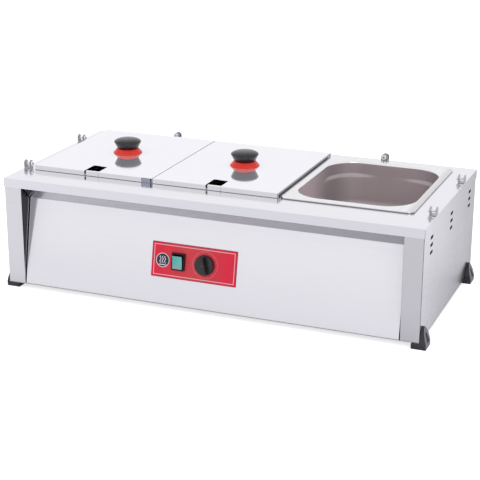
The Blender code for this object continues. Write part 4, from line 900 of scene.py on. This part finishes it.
firstPan = makePan()
for wellName, wellX in wellXs.items():
    pan = copyPiece(firstPan, f"pan_{wellName}_sheet", moveBy(wellX, rowY, 0))
    dress(pan, f"pan_{wellName}", "pressed_pan_steel", None, f"pan_{wellName}", angle=40)
    paintPan(pan, wellX, wellName == "right")
removePiece(firstPan)
print("pans are made")


# Lids

lidSizes = {
    "halfX": 0.1329, "halfY": 0.1622, "top": 0.2429, "low": 0.2328, "sheet": 0.0008, "bend": 0.0011,
    "notchWidth": 0.0315, "notchShift": -0.00225, "notchLength": 0.038, "notchStrip": 0.005,
    "slit": 0.004, "foldBack": 0.0026, "foldRise": 0.0041, "tabSlit": 0.0006, "corner": 0.0015,
    "endTab": 0.0190, "endTabGap": 0.0034, "flangeLine": 0.0007, "screwBore": 0.0033,
}


def makeLid(name, x, withEndTab):
    sizes = lidSizes
    halfX, halfY, low, top = sizes["halfX"], sizes["halfY"], sizes["low"], sizes["top"]
    lid = addSlab(f"lid_{name}_sheet", 2 * halfX, 2 * halfY, low, top, x, rowY)
    deleteFacesWhere(lid, lambda face: face.normal.z < -0.5)
    bevelWhere(lid, lambda edge: not alongAxis(edge, 2) and len(edge.link_faces) == 2, sizes["bend"], 4)
    giveWall(lid, sizes["sheet"])
    # the cuts go through the whole lid, or through its flanges only
    frontY, notchX, strip = rowY - halfY, x + sizes["notchShift"], sizes["notchStrip"]
    slitX, tabSlit = notchX - (sizes["notchWidth"] - sizes["slit"]) / 2, sizes["tabSlit"]
    tabGap, tabLeft = sizes["endTabGap"], x + halfX - sizes["endTabGap"] - sizes["endTab"]
    whole, flange = (low - 0.01, top + 0.01), (low - 0.002, top - sizes["bend"] - 0.0002)
    cuts = [
        (sizes["notchWidth"], sizes["notchLength"], *whole, notchX, frontY + strip + sizes["notchLength"] / 2),
        (sizes["slit"], strip + 0.004, *whole, slitX, frontY + strip / 2),
        (tabSlit, 0.006, *flange, notchX + sizes["notchWidth"] / 2 + tabSlit / 2, frontY),
    ]
    if withEndTab:
        cuts += [
            (tabGap - sizes["corner"], 0.006, *flange, x + halfX - tabGap / 2 - sizes["corner"] / 2, frontY),
            (tabSlit, 0.006, *flange, tabLeft - tabSlit / 2, frontY),
        ]
    cornerX, cornerY = halfX - sizes["corner"] + 0.002, halfY - sizes["corner"] + 0.002
    for sideX, sideY in ((-1, -1), (-1, 1), (1, -1), (1, 1)):
        cuts.append((0.004, 0.004, *flange, x + sideX * cornerX, rowY + sideY * cornerY))
    for cut in cuts:
        cutBy(lid, addSlab("lidTool", *cut))
    bore = addDrum("boreTool", sizes["screwBore"], -0.002, 0.002, 24)
    placePiece(bore, moveBy(x, rowY, top))
    cutBy(lid, bore)
    # what the notch left is folded down behind the slit, and painted black as shade in the slit
    foldY, foldTop = frontY + sizes["foldBack"], top - sizes["sheet"]
    joinTo(lid, addSlab("notchFoldShade", sizes["slit"] + 0.0012, sizes["sheet"], low + sizes["foldRise"], foldTop,
                        slitX, foldY))
    if withEndTab:
        cutAcross(lid, (tabLeft, 0, 0), (1, 0, 0))
    lineTop = low + sizes["flangeLine"]
    cutAcross(lid, (0, 0, lineTop), (0, 0, 1))
    dress(lid, f"lid_{name}", "polished_steel", "lidSteel", f"lid_{name}")
    atFront = lambda face: face.normal.y < -0.8 and face.center.y < frontY + nearby
    # painted shade: the front flanges get a darker, duller copy of the lid's steel
    paintWhere(lid, "flangeShadeSteel", atFront)
    # painted shade: a dark strip along the foot of the front flange where it meets the deck
    paintWhere(lid, "lipShadeSteel", lambda face: atFront(face) and face.center.z < lineTop)
    # painted shade: the fold behind the slit is black
    paintWhere(lid, "paintedRecessShade", lambda face: (
        abs(face.center.y - foldY) < 0.0006 and face.center.z < foldTop + 0.0001
        and abs(face.center.x - slitX) < sizes["slit"]))
    # painted shade on the lid's right-hand end flange
    paintWhere(lid, "edgeShadeSteel", lambda face: face.normal.x > 0.8 and face.center.x > x + halfX - nearby)
    # painted shade: the end tab is a darker, bluish copy of the steel
    if withEndTab:
        paintWhere(lid, "tabShadeSteel", lambda face: atFront(face) and face.center.x > tabLeft)


makeLid("left", wellXs["left"], True)
makeLid("middle", wellXs["middle"], False)
print("lids are made")


# Lid knobs

knobSizes = {
    # rings from the bottom to the top: radius and height over the lid
    "collar": [(0.0304, -0.00026), (0.0306, 0.0003), (0.0305, 0.0006), (0.0300, 0.0010), (0.0234, 0.0087),
               (0.0227, 0.0094), (0.0216, 0.0096), (0.0034, 0.0096)],
    "cap": [(0.0034, 0.0099), (0.0212, 0.0099), (0.0219, 0.0105), (0.0224, 0.0114), (0.0274, 0.0213), (0.0282, 0.0226),
            (0.0285, 0.0232), (0.0285, 0.0242), (0.0280, 0.0251), (0.0270, 0.0261), (0.0256, 0.0270), (0.0236, 0.0280),
            (0.0210, 0.0289), (0.0178, 0.0297), (0.0138, 0.0303), (0.0090, 0.0307), (0.0036, 0.0309)],
}


def makeLidKnobs():
    foot = lidSizes["top"] + case["gap"]
    collar = addTurned("collar", knobSizes["collar"], 96)
    cap = addTurned("cap", knobSizes["cap"], 96)
    for name in ("left", "middle"):
        place = moveBy(wellXs[name], rowY, foot)
        body = f"lid_{name}"
        dress(copyPiece(collar, f"collar_{name}", place), body, "red_plastic", "redGloss", f"lid_collar_{name}",
              evenly=False, angle=50)
        dress(copyPiece(cap, f"cap_{name}", place), body, "black_phenolic", "capBlack", f"lid_knob_{name}",
              evenly=False, angle=50)
    removePiece(collar)
    removePiece(cap)


makeLidKnobs()
print("lid knobs are made")


# Label and switch

switchSizes = {
    "halfX": 0.014, "halfUp": 0.01725, "low": 0.0014, "high": 0.0059, "corner": 0.0016, "edge": 0.0007,
    "bodyX": 0.012, "bodyUp": 0.0154, "bodyDeep": -0.0226, "wellX": 0.0108, "wellUp": 0.0142, "wellDeep": -0.00405,
    "wellCorner": 0.0008, "rockerX": 0.0104, "rockerUp": 0.0132, "rockerRise": 0.0092, "rockerRound": 0.0006,
    "rockerCuts": 9, "dip": 0.0018, "drop": 0.003, "tilt": 8.52,
}


def makeLabel():
    plate = addSlab("labelPlate", label["width"], label["height"], label["low"], label["high"], label["middleX"])
    bevelWhere(plate, isUpright, label["corner"], 3)
    bevelWhere(plate, lambda edge: midpoint(edge).z > label["high"] - touching, label["edge"], 2)
    cutControls(plate, 0, 0.005, 32, Matrix.Identity(4))
    placePiece(plate, slopeMatrix(up=slope["row"]))
    dress(plate, "case", "red_label", "redLabel", "label_plate")


def makeSwitch():
    sizes = switchSizes
    low, high = sizes["low"], sizes["high"]
    housing = addSlab("switchHousing", 2 * sizes["halfX"], 2 * sizes["halfUp"], low, high)
    bevelWhere(housing, isUpright, sizes["corner"], 4)
    bevelWhere(housing, lambda edge: midpoint(edge).z > high - touching, sizes["edge"], 3)
    body = addSlab("switchBody", 2 * sizes["bodyX"], 2 * sizes["bodyUp"], sizes["bodyDeep"], low + 0.001)
    cutBy(housing, body, "UNION")
    well = addSlab("switchTool", 2 * sizes["wellX"], 2 * sizes["wellUp"], sizes["wellDeep"], sizes["wellDeep"] + 0.02)
    bevelWhere(well, isUpright, sizes["wellCorner"], 3)
    cutBy(housing, well)
    placePiece(housing, slopeMatrix(label["switchX"], slope["row"]))
    dress(housing, "case", "black_phenolic", "blackGloss", "switch_housing")

    # rocker: a block with its top dished between two raised ends, turned on its pin
    ends, rise = sizes["rockerUp"], sizes["rockerRise"]
    rocker = addSlab("switchRocker", 2 * sizes["rockerX"], 2 * ends, -sizes["drop"], rise)
    isLong = lambda edge: alongAxis(edge, 1)
    changeWhere(rocker, "EDGE", isLong, bpy.ops.mesh.subdivide, number_cuts=sizes["rockerCuts"])
    for vert in rocker.data.vertices:
        if vert.co.z > 0:
            share = abs(vert.co.y) / ends
            vert.co.z = rise - sizes["dip"] * (1 - share * share)
    isEdge = lambda edge: midpoint(edge).z > rise / 2 and edge.calc_face_angle(0) > 0.6
    bevelWhere(rocker, isEdge, sizes["rockerRound"], 3)
    placePiece(rocker, moveBy(label["switchX"], slope["row"], low) @ turnBy(sizes["tilt"], "X"))
    placePiece(rocker, slopeMatrix())
    dress(rocker, "rocker", "green_lens", "blackGloss", "switch_rocker")
    paintWhere(rocker, "greenLens", lambda face: face.normal.dot(slope["out"]) > 0.8)


makeLabel()
makeSwitch()
print("label and switch are made")


# Thermostat knob

dialSizes = {
    "rings": [(0.0198, 0.0021), (0.0203, 0.0025), (0.0203, 0.0040), (0.0199, 0.0062), (0.0192, 0.0080),
              (0.0186, 0.0088), (0.0178, 0.0091), (0.0160, 0.0090)],
    "barWidth": 0.0072, "barLength": 0.0350, "barShift": 0.0030, "barLow": 0.006, "barTop": 0.0201,
    "barRound": 0.0009, "barTaper": (0.6, 0.93, 1), "channel": 0.0132, "channelDeep": 0.0016, "turn": 16.0,
    "grooveWidth": 0.0009, "grooveDepth": 0.0006, "bore": 0.0033, "boreTop": 0.0124,
}


def makeDial():
    sizes = dialSizes
    low, top, shift, length = sizes["barLow"], sizes["barTop"], sizes["barShift"], sizes["barLength"]
    dial = addTurned("thermostatKnob_turned", sizes["rings"], 96)
    channelZ = sizes["rings"][-1][1] - sizes["channelDeep"]
    cutBy(dial, addBlock("dialTool", (sizes["channel"], 0.05, 0.01), (shift, 0, channelZ + 0.005)))
    bar = addSlab("dialBar", sizes["barWidth"], length, low, top, shift)
    taperTop(bar, sizes["barTaper"], (shift, 0, top))
    bevelWhere(bar, lambda edge: midpoint(edge).z > low + 0.0002, sizes["barRound"], 4)
    cutBy(dial, bar, "UNION")
    groove = (sizes["grooveWidth"], length / 2, 2 * sizes["grooveDepth"])
    cutBy(dial, addBlock("dialTool", groove, (shift, length / 4, top)))
    cutBy(dial, addDrum("dialTool", sizes["bore"], -0.01, sizes["boreTop"], 32))
    placePiece(dial, slopeMatrix(label["dialX"], slope["row"]) @ turnBy(sizes["turn"], "Z"))
    dress(dial, "dial", "black_phenolic", "dialBlack", "thermostat_knob", angle=40)


makeDial()
print("thermostat knob is made")


# Feet

footSizes = {
    "inner": {1: 0.4182, -1: 0.4125}, "wall": 0.4341, "length": 0.0345, "sole": 0.010, "tip": 0.0402, "spring": 0.14,
    "tipDepth": {1: 0.30, -1: 0.0}, "tipBack": 0.0035, "soleBack": 0.0165, "round": 0.0006,
    "recess": 0.0014, "recessWidth": 0.0160, "recessLow": 0.0105, "recessTop": 0.0290, "recessTaper": 0.4,
    "archCuts": 15, "tipWidth": 0.0006, "rimDeep": 0.0005,
}
footPlaces = {
    # side, outer x and middle y
    "front_left": (-1, 0.4405, -0.1991), "front_right": (1, 0.447, -0.2051),
    "back_left": (-1, 0.4405, 0.1684), "back_right": (1, 0.447, 0.1684),
}


def makeFoot(name, side, outer, middleY):
    # a shoe with a pointed tab that leans in to the wall
    sizes = footSizes
    wall, half, tip = sizes["wall"], sizes["length"] / 2, sizes["tip"]
    shoe = addSlab(f"foot_{name}_shoe", outer - wall, sizes["length"], 0, tip, (outer + wall) / 2)
    changeWhere(shoe, "EDGE", isUpright, bpy.ops.mesh.subdivide, number_cuts=sizes["archCuts"])
    atSole = lambda face: face.normal.x < -0.5 and face.calc_center_median().z < sizes["sole"]
    changeWhere(shoe, "FACE", atSole, bpy.ops.mesh.extrude_region_move,
                TRANSFORM_OT_translate={"value": (sizes["inner"][side] - wall, 0, 0)})
    spring = sizes["sole"] + sizes["spring"] * (tip - sizes["sole"])
    bow = ((tip - spring) ** 2 + half * half) / (2 * half)  # radius of each side of the arch
    outside = wall + 0.0001
    leanAt = lambda z: min(max((z - sizes["sole"]) / (tip - sizes["sole"]), 0.0), 1.0)
    slopeAt = lambda z: outside + (outer - wall - 0.0001) * (1 - leanAt(z) * (1 - sizes["tipDepth"][side]))
    for vert in shoe.data.vertices:
        above = max(vert.co.z - spring, 0.0)
        width = max(math.sqrt(bow * bow - above * above) - (bow - half), sizes["tipWidth"])
        if vert.co.x > outside:
            vert.co.x = slopeAt(vert.co.z)
        # the back of the turned left shoes is its other side
        vert.co.y = math.copysign(width, vert.co.y) + side * sizes["tipBack"] * leanAt(vert.co.z)
        if vert.co.x < wall - 0.0001 and side * vert.co.y > 0:
            vert.co.y += side * sizes["soleBack"]
    # the recess follows the leaning face and narrows upward
    middleZ, rise = (sizes["recessLow"] + sizes["recessTop"]) / 2, sizes["recessTop"] - sizes["recessLow"]
    tool = addSlab("footTool", 2 * sizes["recess"], sizes["recessWidth"], -rise / 2, rise / 2)
    taperTop(tool, (1, sizes["recessTaper"], 1), (0, 0, 0))
    lean = math.atan2(slopeAt(sizes["recessLow"]) - slopeAt(sizes["recessTop"]), rise)
    placePiece(tool, moveBy(slopeAt(middleZ), side * sizes["tipBack"] * leanAt(middleZ), middleZ)
               @ Matrix.Rotation(-lean, 4, "Y"))
    cutBy(shoe, tool)
    applyStep(shoe, "BEVEL", width=sizes["round"], segments=2, limit_method="ANGLE", angle_limit=math.radians(40),
              use_clamp_overlap=True)
    placePiece(shoe, moveBy(0, middleY, 0) @ turnBy(0 if side > 0 else 180, "Z"))
    dress(shoe, "case", "black_foot_plastic", "blackFoot", f"foot_{name}", angle=35)
    # painted highlight: the leaning face round the recess is a lighter grey
    paintWhere(shoe, "footEdgeSheen", lambda face: (
        side * face.normal.x > 0.5 and abs(side * face.center.x - slopeAt(face.center.z)) < sizes["rimDeep"]))


for footName, footPlace in footPlaces.items():
    makeFoot(footName, *footPlace)
print("feet are made")


# Clamps, gland and back screws: the frame's own pieces with rounded edges

clampScrewSizes = {
    "rings": [(0.0025, -0.0105), (0.0025, 0.0003), (0.0044, 0.0003), (0.0048, 0.0007), (0.0048, 0.0030),
              (0.0044, 0.0035)],
    "socket": 0.0017, "socketDepth": 0.0018, "height": 0.0085, "face": 0.007, "base": 0.2328,
}
softened = {
    # node starts with: body, slot, finish, edge round, share of a clamp's ears kept above its screw
    "clamp_left_": ("case", "plated_steel", "platedSteel", 0.0003, 0.9),
    "clamp_right_": ("case", "plated_steel", "platedSteel", 0.0003, 0.9),
    "clamp_back_": ("case", "plated_steel", "platedSteel", 0.0003, 0.66),
    "cord_gland": ("case", "black_foot_plastic", "blackFoot", 0.0003, 1.0),
    "back_screw_": ("case", "plated_steel", "screwSteel", 0.0002, 1.0),
}


def softenNode(nodeName, body, slotName, material, width, earShare):
    piece = copyPiece(frame["nodes"][nodeName], f"{nodeName}_soft")
    editWhole(piece)
    bpy.ops.mesh.remove_doubles(threshold=welded)
    bpy.ops.mesh.dissolve_limited(angle_limit=math.radians(1.0))
    if earShare < 1:
        axisZ = clampScrewSizes["base"] + clampScrewSizes["height"]
        pick(piece, "VERT", lambda vert: vert.co.z > axisZ)
        bpy.ops.transform.resize(value=(1, 1, earShare), center_override=(0, 0, axisZ))
    endEdit()
    applyStep(piece, "BEVEL", width=width, segments=2, limit_method="ANGLE", angle_limit=math.radians(35),
              use_clamp_overlap=True, harden_normals=False)
    dress(piece, body, slotName, material, nodeName, angle=40)


for nodeName in sorted(frame["nodes"]):
    for start, settings in softened.items():
        if nodeName.startswith(start):
            softenNode(nodeName, *settings)
print("clamps, gland and back screws are made")


clampPlaces = {
    # x, y and turn
    "left_front": (-0.4275, -0.13135, 90), "left_back": (-0.4275, 0.09865, 90),
    "back_left": (-0.240, 0.20015, 0), "back_right": (0.240, 0.20015, 0),
    "right_front": (0.4275, -0.13135, -90), "right_back": (0.4275, 0.09865, -90),
}


def makeClampScrews():
    sizes = clampScrewSizes
    top = sizes["rings"][-1][1]
    screw = addTurned("clampScrew", sizes["rings"], 48)
    cutBy(screw, addDrum("socketTool", sizes["socket"], top - sizes["socketDepth"], top + 0.002, 6))
    toFace = moveBy(0, -sizes["face"], 0) @ turnBy(90, "X")
    for name, (x, y, turn) in clampPlaces.items():
        made = copyPiece(screw, f"clampScrew_{name}")
        corners = made.data.vertices
        inSocket = [face.center.z > 0 and all(corners[i].co.xy.length < sizes["socket"] + 0.0002 for i in face.vertices)
                    for face in made.data.polygons]
        place = moveBy(x, y, sizes["base"] + sizes["height"])
        placePiece(made, place @ turnBy(turn, "Z") @ toFace)
        dress(made, f"screw_{name}", "plated_steel", "screwSteel", f"clamp_screw_{name}", evenly=False, angle=40)
        # painted shade in the screw's socket
        paintWhere(made, "paintedRecessShade", lambda face: inSocket[face.index])
    removePiece(screw)


makeClampScrews()
print("clamp screws are made")
